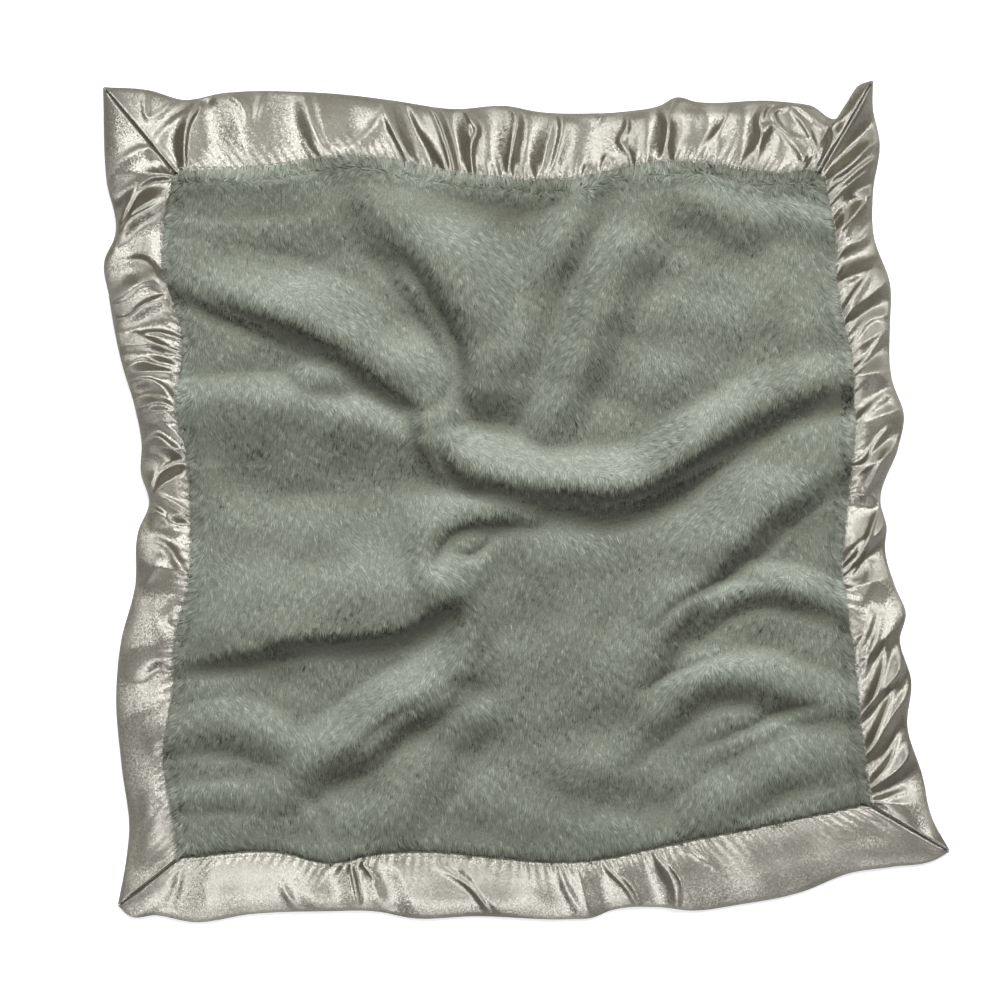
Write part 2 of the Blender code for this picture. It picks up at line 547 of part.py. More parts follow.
def binding_section(side, crease, gathered):
    """The folded satin at one crease, as (across, height) pairs round its closed outline."""
    seam_share, edge_share, pucker = crease
    swell, brow = (free_share(share) for share in UPPER_SHARES)
    heel, turn = (free_share(share) for share in LOWER_SHARES)
    inner = free_share(INNER_EDGE_SHARE)

    def place(across):
        out = max(0.0, (across - SLOT_SHARE) / (1 - SLOT_SHARE))
        return seam_share + (edge_share - seam_share) * out

    def lift(across):
        return strip_lift(side, place(across), across)

    def floor(across):
        return max(lift(across) - REST_CUT, MITRE_RISE if gathered else 0)

    swell_top = lift(swell) + PUFF_HEIGHT + pucker * PUCKER_HEIGHT
    brow_puff = 0.5 * (PUFF_HEIGHT + EDGE_HEIGHT)
    brow_top = lift(brow) + brow_puff + BROW_PUCKER_SHARE * pucker * PUCKER_HEIGHT
    edge = max(lift(1) + EDGE_HEIGHT, floor(1) + SATIN_THICKNESS)
    rim = floor(heel) + (edge - floor(heel)) * (inner - heel) / (1 - heel)
    outline = (
        (0, lift(0) + UPPER_SATIN_TOP),
        (SLOT_SHARE, lift(SLOT_SHARE) + UPPER_SATIN_TOP),
        (swell, swell_top),
        (brow, brow_top),
        (1, edge),
        (heel, floor(heel)),
        (turn, floor(turn)),
        (SLOT_SHARE, lift(SLOT_SHARE) + LOWER_SATIN_LOW),
        (0, lift(0) + LOWER_SATIN_LOW),
        (0, lift(0) + LOWER_SATIN_TOP),
        (SLOT_SHARE, lift(SLOT_SHARE) + LOWER_SATIN_TOP),
        (turn, floor(turn) + SATIN_THICKNESS),
        (heel, floor(heel) + SATIN_THICKNESS),
        (inner, rim + SATIN_THICKNESS),
        (brow, brow_top - SATIN_THICKNESS),
        (swell, swell_top - SATIN_THICKNESS),
        (SLOT_SHARE, lift(SLOT_SHARE) + UPPER_SATIN_LOW),
        (0, lift(0) + UPPER_SATIN_LOW),
    )
    return [(place(across), across, height) for across, height in outline]


def add_binding(side, finish):
    """One strip of satin, folded over the blanket's edge and creased along its length.

    Both faces of the satin are split along the same diagonals, so that it is equally thick throughout.
    """
    rows = creases(side)
    bm = bmesh.new()
    rings = []
    for k, crease in enumerate(rows):
        section = binding_section(side, crease, gathered=k in (0, len(rows) - 1))
        ring = []
        for share, across, height in section:
            x, y = strip_point(side, np.array([share]), np.array([across]))[0]
            ring.append(bm.verts.new((x, y, height)))
        rings.append(ring)
    acrosses = [across for _, across, _ in section]
    for ring, after in zip(rings[:-1], rings[1:]):
        for k in range(len(ring)):
            following = (k + 1) % len(ring)
            if acrosses[k] <= acrosses[following]:
                bm.faces.new((ring[k], ring[following], after[following]))
                bm.faces.new((ring[k], after[following], after[k]))
            else:
                bm.faces.new((ring[k], ring[following], after[k]))
                bm.faces.new((ring[following], after[following], after[k]))
    bm.faces.new(rings[0])
    bm.faces.new(rings[-1])
    add_mesh(f"binding_{side}", bm, finish)


def add_stitching(side, finish):
    """The needle thread above a binding's seam and the bobbin thread under it."""
    shares = creases(side)[1:-1, 0]
    plan = strip_point(side, shares, np.full(len(shares), STITCH_SHARE))
    lifts = seam_height(side, shares)
    stand_off = CLEARANCE + 0.5 * THREAD_DIAMETER
    above = [(x, y, z + UPPER_SATIN_TOP + stand_off) for (x, y), z in zip(plan, lifts)]
    below = [(x, y, z + LOWER_SATIN_LOW - stand_off) for (x, y), z in zip(plan, lifts)]
    add_thread(f"needle_thread_{side}", above, finish)
    add_thread(f"bobbin_thread_{side}", below, finish)


def add_mitre_stitching(corner, finish):
    """The two short threads that close a corner's mitre, on the face and on the back."""
    side, row = {
        "top_left": ("top", 0),
        "top_right": ("top", -1),
        "bottom_right": ("bottom", -1),
        "bottom_left": ("bottom", 0),
    }[corner]
    section = binding_section(side, creases(side)[row], gathered=True)
    start, end = seam_corner(corner), outer_corner(corner)
    stand_off = CLEARANCE + 0.5 * THREAD_DIAMETER

    def along(rows, rise):
        points = []
        for _, across, height in rows:
            x, y = start + (end - start) * across
            points.append((x, y, height + rise))
        return points

    add_thread(f"mitre_thread_face_{corner}", along(section[1:4], stand_off), finish)
    add_thread(f"mitre_thread_back_{corner}", along(section[5:8], -stand_off), finish)


def main():
    for old in list(bpy.data.objects):
        bpy.data.objects.remove(old)
    plush = material("plush", (0.36, 0.385, 0.35), 0.95, sheen=0.4)
    satin = material("satin", (0.46, 0.415, 0.36), 0.33, anisotropic=0.6)
    thread = material("thread", (0.24, 0.22, 0.19), 0.7)
    add_panels(plush)
    for side in SIDES:
        add_binding(side, satin)
        add_stitching(side, thread)
    for corner in CORNERS:
        add_mitre_stitching(corner, thread)


main()
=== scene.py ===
"""The looks of a comfort blanket: plush pile, satin binding and stitches, in the folds of the frame."""

import math

import bmesh
import bpy
import numpy as np
from mathutils import Matrix, Vector


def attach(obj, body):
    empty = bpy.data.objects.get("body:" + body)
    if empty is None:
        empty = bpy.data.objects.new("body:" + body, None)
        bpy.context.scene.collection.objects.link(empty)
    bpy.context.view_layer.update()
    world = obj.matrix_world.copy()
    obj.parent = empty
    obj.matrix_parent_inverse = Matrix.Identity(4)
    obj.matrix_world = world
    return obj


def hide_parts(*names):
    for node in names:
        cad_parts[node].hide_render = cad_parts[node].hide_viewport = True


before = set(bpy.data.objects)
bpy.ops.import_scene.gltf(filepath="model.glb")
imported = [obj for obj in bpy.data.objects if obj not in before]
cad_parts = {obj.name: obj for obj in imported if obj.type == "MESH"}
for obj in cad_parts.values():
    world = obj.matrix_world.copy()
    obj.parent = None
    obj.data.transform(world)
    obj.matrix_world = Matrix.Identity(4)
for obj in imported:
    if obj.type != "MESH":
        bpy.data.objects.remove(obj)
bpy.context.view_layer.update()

# The blanket's own sizes, in metres, as the frame has them
FLAT_SIDE = 0.381
BINDING_WIDTH = 0.032
SEAM_ALLOWANCE = 0.010
STITCH_INSET = 0.0022
PLUSH_THICKNESS = 0.0043
HEM_THICKNESS = 0.0009
SATIN_THICKNESS = 0.00024
THREAD_DIAMETER = 0.0005
FOLD_HEIGHT = 0.019
PUCKER_HEIGHT = 0.0046
REST_CUT = 0.0005
CLEARANCE = 0.0003
DRAWN_IN_SHARE = 0.957
HALF_PANEL = 0.5 * DRAWN_IN_SHARE * (FLAT_SIDE - 2 * BINDING_WIDTH)

MIDDLE = PLUSH_THICKNESS + 0.5 * CLEARANCE
FACE_HEM_TOP = MIDDLE + 0.5 * CLEARANCE + HEM_THICKNESS
BACK_HEM_LOW = MIDDLE - 0.5 * CLEARANCE - HEM_THICKNESS
UPPER_SATIN = FACE_HEM_TOP + CLEARANCE + 0.0005
LOWER_SATIN = BACK_HEM_LOW - CLEARANCE - 0.0005
SLOT_SHARE = SEAM_ALLOWANCE / BINDING_WIDTH + 3 * CLEARANCE / BINDING_WIDTH
STITCH_SHARE = STITCH_INSET / BINDING_WIDTH

CORNERS = ("top_left", "top_right", "bottom_right", "bottom_left")
SIDES = ("top", "right", "bottom", "left")
SIDE_ENDS = {
    "top": ("top_left", "top_right"),
    "right": ("top_right", "bottom_right"),
    "bottom": ("bottom_left", "bottom_right"),
    "left": ("top_left", "bottom_left"),
}
OUTWARD_SHARES = {"top": (0, 1), "right": (1, 0), "bottom": (0, -1), "left": (-1, 0)}

# Where the plush meets the satin at each corner, as shares of half the panel
SEAM_CORNER_SHARES = {
    "top_left": (-1.053, 0.982),
    "top_right": (0.881, 0.985),
    "bottom_right": (1.026, -0.912),
    "bottom_left": (-1.044, -1.073),
}

# The binding's outer corner from there, as shares of the binding's width
OUTER_CORNER_SHARES = {
    "top_left": (-1.07, 1.27),
    "top_right": (0.77, 1.34),
    "bottom_right": (1.20, -0.69),
    "bottom_left": (-0.90, -0.70),
}

# How high each corner's mitre is gathered up, as a share of the pucker height
CORNER_LIFT_SHARES = {"top_left": 0.25, "top_right": 0.60, "bottom_right": 0.25, "bottom_left": 0.25}

# How far the seam bows out from the straight line between its corners: (share of the line from the
# left or the top, share of half the panel)
SEAM_BOW_SHARES = {
    "top": (
        (0, 0), (0.145, 0.014), (0.285, 0.045), (0.43, -0.005), (0.52, -0.025), (0.60, -0.027),
        (0.72, 0.018), (0.82, 0.026), (0.90, -0.004), (1, 0),
    ),
    "right": (
        (0, 0), (0.11, 0.022), (0.18, 0.014), (0.30, 0.043), (0.42, 0.033), (0.54, -0.008),
        (0.63, -0.034), (0.74, -0.017), (0.86, -0.014), (1, 0),
    ),
    "bottom": (
        (0, 0), (0.15, 0.008), (0.22, 0.053), (0.28, 0.036), (0.39, 0.047), (0.46, 0.073),
        (0.54, 0.100), (0.62, 0.102), (0.71, 0.075), (0.81, 0.051), (0.92, 0.021), (1, 0),
    ),
    "left": (
        (0, 0), (0.10, 0.036), (0.17, 0.020), (0.21, -0.014), (0.28, -0.020), (0.33, -0.004),
        (0.42, -0.038), (0.51, -0.047), (0.59, -0.045), (0.68, 0), (0.77, 0.012), (0.85, 0.042),
        (0.92, 0.016), (1, 0),
    ),
}

# How far the folded edge bows out from the straight line between the outer corners: (share of the
# line, share of the binding's width)
EDGE_BOW_SHARES = {
    "top": (
        (0, 0), (0.06, -0.05), (0.105, -0.19), (0.155, -0.10), (0.26, -0.09), (0.32, -0.14),
        (0.375, -0.22), (0.455, -0.35), (0.53, -0.32), (0.56, -0.39), (0.63, -0.43), (0.685, -0.40),
        (0.725, -0.32), (0.745, -0.21), (0.77, -0.27), (0.87, -0.27), (0.92, -0.34), (0.96, -0.48),
        (0.978, -0.11), (1, 0),
    ),
    "right": (
        (0, 0), (0.03, -0.03), (0.08, 0.02), (0.145, -0.15), (0.20, -0.20), (0.265, -0.04),
        (0.32, -0.11), (0.385, -0.16), (0.435, -0.03), (0.475, -0.16), (0.545, -0.49), (0.58, -0.44),
        (0.605, -0.49), (0.66, -0.39), (0.69, -0.29), (0.725, -0.41), (0.777, -0.31), (0.84, -0.43),
        (0.90, -0.29), (0.96, -0.20), (1, 0),
    ),
    "bottom": (
        (0, 0), (0.01, 0.13), (0.047, 0.18), (0.09, 0.31), (0.16, 0.25), (0.25, 0.28), (0.315, 0.34),
        (0.35, 0.45), (0.43, 0.49), (0.545, 0.62), (0.57, 0.62), (0.59, 0.54), (0.65, 0.53),
        (0.69, 0.61), (0.745, 0.57), (0.82, 0.45), (0.88, 0.22), (0.93, 0.17), (0.984, 0.10), (1, 0),
    ),
    "left": (
        (0, 0), (0.11, -0.02), (0.185, -0.12), (0.21, 0.02), (0.255, -0.03), (0.335, -0.19),
        (0.39, -0.37), (0.435, -0.46), (0.47, -0.44), (0.51, -0.55), (0.54, -0.40), (0.61, -0.33),
        (0.68, -0.11), (0.745, -0.03), (0.83, -0.09), (0.91, -0.18), (0.945, -0.13), (1, 0),
    ),
}

# The creases of each binding, crest and hollow by turns: (thousandths of the seam, thousandths of the
# folded edge, hundredths of the pucker height)
CREASE_ROWS = {
    "top": (
        (6, 70, 10), (13, 122, 60), (58, 140, 10), (120, 168, 60), (198, 240, 0), (245, 276, 60),
        (297, 319, 15), (366, 371, 70), (397, 393, 0), (425, 423, 90), (445, 451, 0), (461, 475, 80),
        (488, 503, 15), (516, 536, 80), (540, 558, 0), (563, 589, 80), (616, 640, 0), (700, 681, 80),
        (728, 709, 10), (753, 740, 90), (788, 774, 0), (834, 813, 35), (872, 834, 0), (897, 860, 90),
        (933, 893, 10), (966, 925, 70), (986, 955, 30),
    ),
    "right": (
        (4, 50, 0), (20, 77, 90), (48, 105, 75), (64, 129, 0), (104, 148, 90), (119, 196, 60),
        (148, 226, 10), (175, 243, 70), (234, 258, 80), (247, 284, 0), (285, 320, 75), (307, 349, 20),
        (326, 378, 60), (350, 404, 20), (403, 425, 90), (460, 453, 0), (482, 479, 80), (505, 544, 70),
        (526, 560, 10), (620, 575, 100), (640, 603, 0), (661, 642, 60), (696, 674, 10), (775, 703, 70),
        (791, 726, 0), (858, 746, 100), (874, 768, 0), (925, 791, 100), (941, 836, 0), (976, 862, 90),
        (988, 892, 10), (995, 934, 60),
    ),
    "bottom": (
        (13, 72, 15), (50, 105, 60), (130, 173, 30), (174, 240, 50), (215, 267, 10), (244, 288, 70),
        (258, 300, 20), (270, 321, 50), (285, 339, 10), (308, 363, 50), (378, 445, 0), (400, 465, 60),
        (495, 513, 40), (536, 546, 0), (575, 567, 70), (609, 584, 10), (629, 620, 60), (670, 645, 0),
        (702, 673, 90), (758, 714, 30), (816, 784, 45), (889, 856, 20), (940, 916, 40), (977, 964, 15),
    ),
    "left": (
        (3, 111, 60), (12, 144, 0), (30, 187, 90), (70, 205, 10), (126, 226, 0), (165, 260, 60),
        (180, 285, 80), (219, 303, 10), (253, 318, 50), (268, 330, 0), (290, 353, 90), (330, 377, 0),
        (347, 401, 80), (370, 413, 30), (405, 438, 80), (418, 474, 0), (432, 505, 100), (500, 520, 70),
        (513, 548, 0), (585, 578, 80), (609, 640, 30), (682, 688, 50), (724, 737, 10), (770, 774, 50),
        (859, 872, 0), (918, 914, 40), (982, 957, 10),
    ),
}
ROW_UNITS = (1000, 1000, 100)

# The rumpled ridges of the whole blanket, a row each: the width of its gentle side and of its steep
# side in thousandths of half the panel, then for each point of its crest x and y in the same unit and
# the height in hundredths of the fold height. The steep side is on the right of a walk along the crest.
RIDGE_ROWS = (
    # The broad tongue that falls from the top left to the nose in the middle
    (210, 150, -500, 980, 30, -400, 840, 62, -270, 720, 78, -190, 580, 80, -140, 450, 78, -130, 360, 72),
    # The ridge under it, from the left seam to the nose
    (190, 85, -1110, 690, 22, -840, 590, 62, -670, 530, 70, -540, 460, 72, -420, 380, 70, -310, 310, 55),
    # The low band left of the nose, and the bump above it
    (120, 200, -1060, 280, 35, -840, 290, 45, -650, 270, 42, -470, 210, 40, -300, 160, 35),
    (100, 100, -650, 360, 34, -580, 360, 34),
    # The longest ridge, from the nose to the right edge, and the broad slope above its right half
    (150, 120, -280, 220, 70, -260, 170, 85, -200, 120, 90, -80, 80, 90, 100, 50, 92, 250, 40, 95, 390,
     80, 95, 540, 190, 90, 680, 280, 80, 830, 340, 70, 980, 370, 50, 1130, 380, 25),
    (300, 300, 230, 260, 20, 520, 440, 38, 770, 520, 42, 1040, 550, 28),
    # The hill from the left seam, the hook at its end over the middle pocket, and the hook's far side
    (420, 85, -1110, -480, 22, -900, -440, 60, -680, -390, 76, -520, -380, 82, -380, -360, 82, -270,
     -300, 78),
    (130, 70, -270, -280, 75, -300, -190, 70, -270, -100, 65, -200, -50, 60, -80, -30, 52, 10, -40, 35),
    (110, 110, -250, -240, 70, -190, -310, 62, -170, -400, 55, -200, -490, 50),
    # The ridges under it, down to the lower left corner
    (140, 130, -740, -860, 25, -550, -740, 48, -410, -640, 58, -290, -570, 58, -170, -500, 45),
    (120, 110, -1090, -700, 25, -910, -680, 38, -780, -710, 32, -690, -800, 22),
    (80, 90, -1080, -900, 15, -900, -880, 20, -800, -900, 12),
    (150, 140, -450, -1050, 20, -360, -900, 32, -270, -790, 32, -170, -660, 25),
    # The broad swell down the middle
    (230, 230, 60, -80, 22, 130, -360, 34, 130, -660, 32, 110, -1050, 22),
    # The three ridges that fan out to the right, and the low one under them
    (200, 115, 340, -560, 32, 400, -400, 50, 520, -230, 62, 650, -80, 62, 800, 50, 55, 990, 140, 38,
     1130, 170, 20),
    (90, 90, 510, -360, 25, 590, -290, 42, 720, -250, 50, 860, -280, 45, 1010, -350, 25),
    (120, 110, 320, -720, 22, 430, -610, 38, 540, -540, 46, 680, -530, 46, 830, -580, 42, 1020, -620,
     25),
    (140, 120, 500, -940, 18, 660, -860, 28, 830, -790, 30, 1020, -750, 20),
    # The two ridges that run up from the nose to the top seam
    (100, 110, -30, 450, 30, 30, 620, 38, 120, 810, 38, 200, 960, 20),
    (120, 150, 70, 200, 40, 140, 380, 50, 220, 570, 52, 310, 770, 45, 380, 960, 22),
    # Low swells along the top seam
    (120, 200, 450, 910, 25, 550, 890, 32, 650, 860, 28),
    (80, 120, 780, 880, 18, 860, 840, 22, 950, 800, 18),
    (90, 150, -1080, 960, 20, -900, 950, 25, -680, 950, 20),
    (90, 140, -280, 970, 20, -80, 950, 28, 100, 960, 22),
    # The gathered corner at the top right
    (70, 70, 880, 1000, 12, 970, 1130, 32, 1040, 1260, 45),
)
# The power with which ridges that meet are blended, and the shape of one ridge
RIDGE_BLEND = 3
RIDGE_FOOT_SHARE = 0.10
LYING_SHARE = 0.09
CREST_STEPS = 6
HELD_SHARE = 0.6
QUARTER_TURN = Matrix.Rotation(math.radians(90), 3, "Y")


def hermite(table, at):
    """A smooth curve through the table's (place, value) pairs, read at the places in `at`."""
    places, values = np.array(table, float).T
    slopes = np.gradient(values, places)
    at = np.asarray(at, float)
    index = np.clip(np.searchsorted(places, at, side="right") - 1, 0, len(places) - 2)
    span = places[index + 1] - places[index]
    u = (at - places[index]) / span
    return (
        (2 * u**3 - 3 * u**2 + 1) * values[index]
        + (u**3 - 2 * u**2 + u) * span * slopes[index]
        + (3 * u**2 - 2 * u**3) * values[index + 1]
        + (u**3 - u**2) * span * slopes[index + 1]
    )


def eased(u):
    """0 to 1 with level ends."""
    u = np.clip(u, 0, 1)
    return u * u * (3 - 2 * u)


def seam_corner(corner):
    return HALF_PANEL * np.array(SEAM_CORNER_SHARES[corner])


def outer_corner(corner):
    return seam_corner(corner) + BINDING_WIDTH * np.array(OUTER_CORNER_SHARES[corner])


def bowed(start, end, outward, bow, share):
    """Points at these shares of the line from start to end, each moved outwards by its bow."""
    share = np.asarray(share, float)[..., None]
    return start + (end - start) * share + np.array(outward) * np.asarray(bow)[..., None]


def seam_point(side, share):
    start, end = (seam_corner(corner) for corner in SIDE_ENDS[side])
    bow = HALF_PANEL * hermite(SEAM_BOW_SHARES[side], share)
    return bowed(start, end, OUTWARD_SHARES[side], bow, share)


def edge_point(side, share):
    start, end = (outer_corner(corner) for corner in SIDE_ENDS[side])
    bow = BINDING_WIDTH * hermite(EDGE_BOW_SHARES[side], share)
    return bowed(start, end, OUTWARD_SHARES[side], bow, share)


def strip_point(side, share, across):
    """A point of a binding in plan: its share along the side, and its share across from the seam."""
    across = np.asarray(across, float)[..., None]
    return (1 - across) * seam_point(side, share) + across * edge_point(side, share)


def rounded(row):
    """The ridge that a row stands for: its two widths, and its crest as a smooth line."""
    gentle, steep, *points = row
    crest = np.array(points).reshape(-1, 3) / ROW_UNITS
    knots = np.arange(len(crest))
    fine = np.linspace(0, len(crest) - 1, CREST_STEPS * (len(crest) - 1) + 1)
    line = [hermite(list(zip(knots, column)), fine) for column in crest.T]
    return gentle / 1000, steep / 1000, np.stack(line, axis=1)


RIDGES = [rounded(row) for row in RIDGE_ROWS]


def ridge_lift(points, ridge):
    """How high one ridge lifts each plan point, as a share of the fold height."""
    gentle, steep, crest = ridge
    start = crest[:-1, :2]
    run, rise = np.diff(crest[:, :2], axis=0), np.diff(crest[:, 2])
    length = np.linalg.norm(run, axis=1)
    offset = points[:, None] - start
    along = np.clip((offset * run).sum(axis=2) / (length * length), 0, 1)
    away = np.linalg.norm(offset - along[..., None] * run, axis=2)
    to_left = (run[:, 0] * offset[..., 1] - run[:, 1] * offset[..., 0]) / length
    turned = np.divide(to_left, away, out=np.zeros_like(away), where=away > 0)
    reach = away / (steep + (gentle - steep) * 0.5 * (1 + turned))
    lift = (crest[:-1, 2] + rise * along) * RIDGE_FOOT_SHARE ** (reach * reach)
    nearest = away.argmin(axis=1)
    return lift[np.arange(len(points)), nearest]


def relief(points):
    """The height that the rumples lift the blanket to at each plan point."""
    shares = np.atleast_2d(points) / HALF_PANEL
    total = sum(ridge_lift(shares, ridge) ** RIDGE_BLEND for ridge in RIDGES)
    return FOLD_HEIGHT * np.maximum(total ** (1 / RIDGE_BLEND) - LYING_SHARE, 0)


def end_share(side):
    """The share of a side by which a binding stops short of its mitre, to leave the clearance."""
    start, end = (seam_corner(corner) for corner in SIDE_ENDS[side])
    return 0.5 * CLEARANCE / (math.sqrt(0.5) * np.linalg.norm(end - start))


def creases(side):
    """The creases of a binding with its two mitred ends."""
    first, last = SIDE_ENDS[side]
    margin = end_share(side)
    rows = np.array(CREASE_ROWS[side]) / ROW_UNITS
    return np.array([
        (margin, margin, CORNER_LIFT_SHARES[first]),
        *(row for row in rows if margin < row[0] < 1 - margin),
        (1 - margin, 1 - margin, CORNER_LIFT_SHARES[last]),
    ])


def outline_middle():
    """The middle of the outline's bounding rectangle."""
    edge = np.concatenate([edge_point(side, creases(side)[:, 1]) for side in SIDES])
    return 0.5 * (edge.min(axis=0) + edge.max(axis=0))


ORIGIN = outline_middle()


# How finely the cloths are made
GROUND_STEPS = 110
STRIP_ROWS = 560
TURNED_STEPS = 3
UPPER_STEPS = 38
LOWER_STEPS = 12
STRIP_STEPS = 2 * TURNED_STEPS + UPPER_STEPS + LOWER_STEPS
UPPER_CROWDING = 1.4
LOWER_CROWDING = 1.5
PANEL_STEPS = 170
PANEL_NUDGE = 0.0010
FOLD_REACH = 0.1

# Unevenness, as waves: (seed, how many, shortest, longest)
UNEVEN_WAVES = (5, 26, 0.014, 0.040)
PLEAT_WAVES = (9, 8, 0.02, 0.06)
SWIRL_WAVES = (21, 18, 0.03, 0.09)
STROKE_WAVES = (22, 40, 0.0022, 0.0060)
LEAN_WAVES = (24, 18, 0.03, 0.09)
SWELL_WAVES = (27, 16, 0.026, 0.060)
LUMP_WAVES = (28, 30, 0.008, 0.020)
RIM_WAVES = (29, 20, 0.004, 0.015)
BACK_SWIRL_WAVES = (31, 18, 0.02, 0.07)
CLUMP_WAVES = (32, 30, 0.0045, 0.012)
SCALLOP_WAVES = (34, 12, 0.006, 0.012)

# The plush: its knitted ground with the dense lower pile, and the tufts that stand out of it
GROUND_THICKNESS = 0.0009
HEM_REACH = 0.006
HEM_SINK = 0.0006
HEM_FADE = 0.002
HELD_MARGIN = 0.025
SWELL_HEIGHT = 0.0011
LUMP_HEIGHT = 0.00014
LOWER_PILE = 0.0022
PILE_RIM = 0.006
BACK_PILE_SPACE = 0.0012
BACK_PILE_LOWEST = 0.0001
TUFT_LENGTH = 0.0037
TUFT_WIDTH = 0.00062
TUFT_SPACING = 0.00058
TUFT_SOFTNESS = 0.84
TUFT_DEPTH = 0.0003
BACK_TUFT_SPACING = 0.0013
BACK_TUFT_SCALE = 1.35
BACK_TUFT_WIDTH = 2.5 * TUFT_WIDTH
BACK_TUFT_RISE = 0.0002
FACE_PATCHES = 3
BACK_PATCHES = 2
NAP_SLOPE = 0.75
SEAM_PILE_HEIGHT = 0.0083
SEAM_PILE_REACH = 0.007
RIM_WIDTH = 0.0042
RIM_RAGGEDNESS = 0.0015
EDGE_SHADE_WIDTH = 0.0021

# The satin's section, from its seam out to its fold, level and where it is creased: (share of what is
# free, height), (share of what is free, share of the pucker height)
UPPER_HEIGHTS = (
    (0, UPPER_SATIN), (0.06, 0.0064), (0.2, 0.0064), (0.45, 0.0054), (0.7, 0.0044), (0.87, 0.0033),
    (0.96, 0.0022), (1, 0.0012),
)
CREASE_PROFILE_SHARES = (
    (0, 0.06), (0.1, 0.45), (0.28, 0.92), (0.45, 1.0), (0.7, 0.85), (0.88, 0.50), (1, 0.12),
)
LOWER_HEIGHTS = ((0, LOWER_SATIN), (0.2, 0.0003), (0.8, 0.0003), (0.97, 0.0004), (1, 0.0006))
CREASE_GAINS = {"top": 0.8, "right": 1.0, "bottom": 0.5, "left": 0.9}
TURNED_WIDTH = 0.008
TURNED_DEPTH = 0.00042
EDGE_RISE = 0.0006
UNEVEN_HEIGHT = 0.00022
PLEAT_SPACING = 0.0042
PLEAT_HEIGHT = 0.00035
MITRE_SETTLING = 0.004
MITRE_GROOVE_WIDTH = 0.0006
MITRE_GROOVE_DEPTH = 0.0007

# The stitches
STITCH_LENGTH = 0.0023
STITCH_GAP = 0.0009
MITRE_STITCH_LENGTH = 0.0025
MITRE_STITCH_GAP = -0.0006
MITRE_STITCH_WIDTH = 2.1 * THREAD_DIAMETER
STITCH_LIE = 0.5 * SATIN_THICKNESS + 0.30 * THREAD_DIAMETER
STITCH_LOWEST = 0.6 * THREAD_DIAMETER

# The room
WORLD_STRENGTH = 0.13
FLOOR_SIZE = 3.0
FLOOR_GLOW = 0.45
CAMERA_HEIGHT = 1.5
CAMERA_LENS = 117.8
VIEW_CENTRE = (-0.0121, 0.00074)
# Each lamp's name, place, size and power, and whether it gives the gloss or the shading
LAMPS = (
    ("key", (0.30, 1.20, 1.26), (1.0, 0.7), 42, False),
    ("fill", (-0.45, -0.95, 1.20), (1.0, 0.8), 11, False),
    ("window", (-0.38, 0.52, 1.32), (0.35, 0.30), 18, True),
    ("front", (-0.18, -0.85, 1.12), (0.60, 0.30), 14, True),
    ("side", (0.75, 0.25, 1.15), (0.30, 0.30), 14.5, True),
)

# Creases that sharpen the hollows of the plush, in rows like those of the ridges
PLUSH_CREASE_ROWS = (
    (35, 30, -270, 290, -4, -270, 215, -13, -258, 139, -18, -216, 63, -18, -156, 27, -14, -80, 39, -4),
    (40, 30, -986, 644, -3, -881, 583, -10, -760, 532, -12, -639, 471, -12, -548, 450, -8, -473, 390,
     -3),
    (45, 30, -367, 722, -4, -292, 607, -10, -225, 486, -12, -207, 396, -10, -246, 320, -4),
    (30, 30, -225, -142, -4, -171, -166, -12, -125, -133, -10, -80, -94, -3),
    (35, 30, -866, -396, -3, -684, -435, -8, -503, -426, -10, -352, -396, -9, -261, -353, -4),
    (40, 30, -20, 27, -3, 162, 3, -8, 343, 27, -9, 524, 118, -8, 660, 184, -3),
    (30, 30, 388, -375, -3, 464, -299, -10, 585, -245, -10, 736, -233, -4),
    (30, 30, 343, -571, -3, 449, -517, -10, 585, -465, -10, 705, -450, -4),
    (30, 30, 524, -737, -3, 645, -692, -9, 796, -625, -9, 887, -607, -3),
    (30, 30, -261, -571, -3, -382, -631, -8, -473, -707, -8, -548, -782, -3),
    (30, 30, -684, -873, -3, -624, -940, -8, -594, -1018, -6),
)

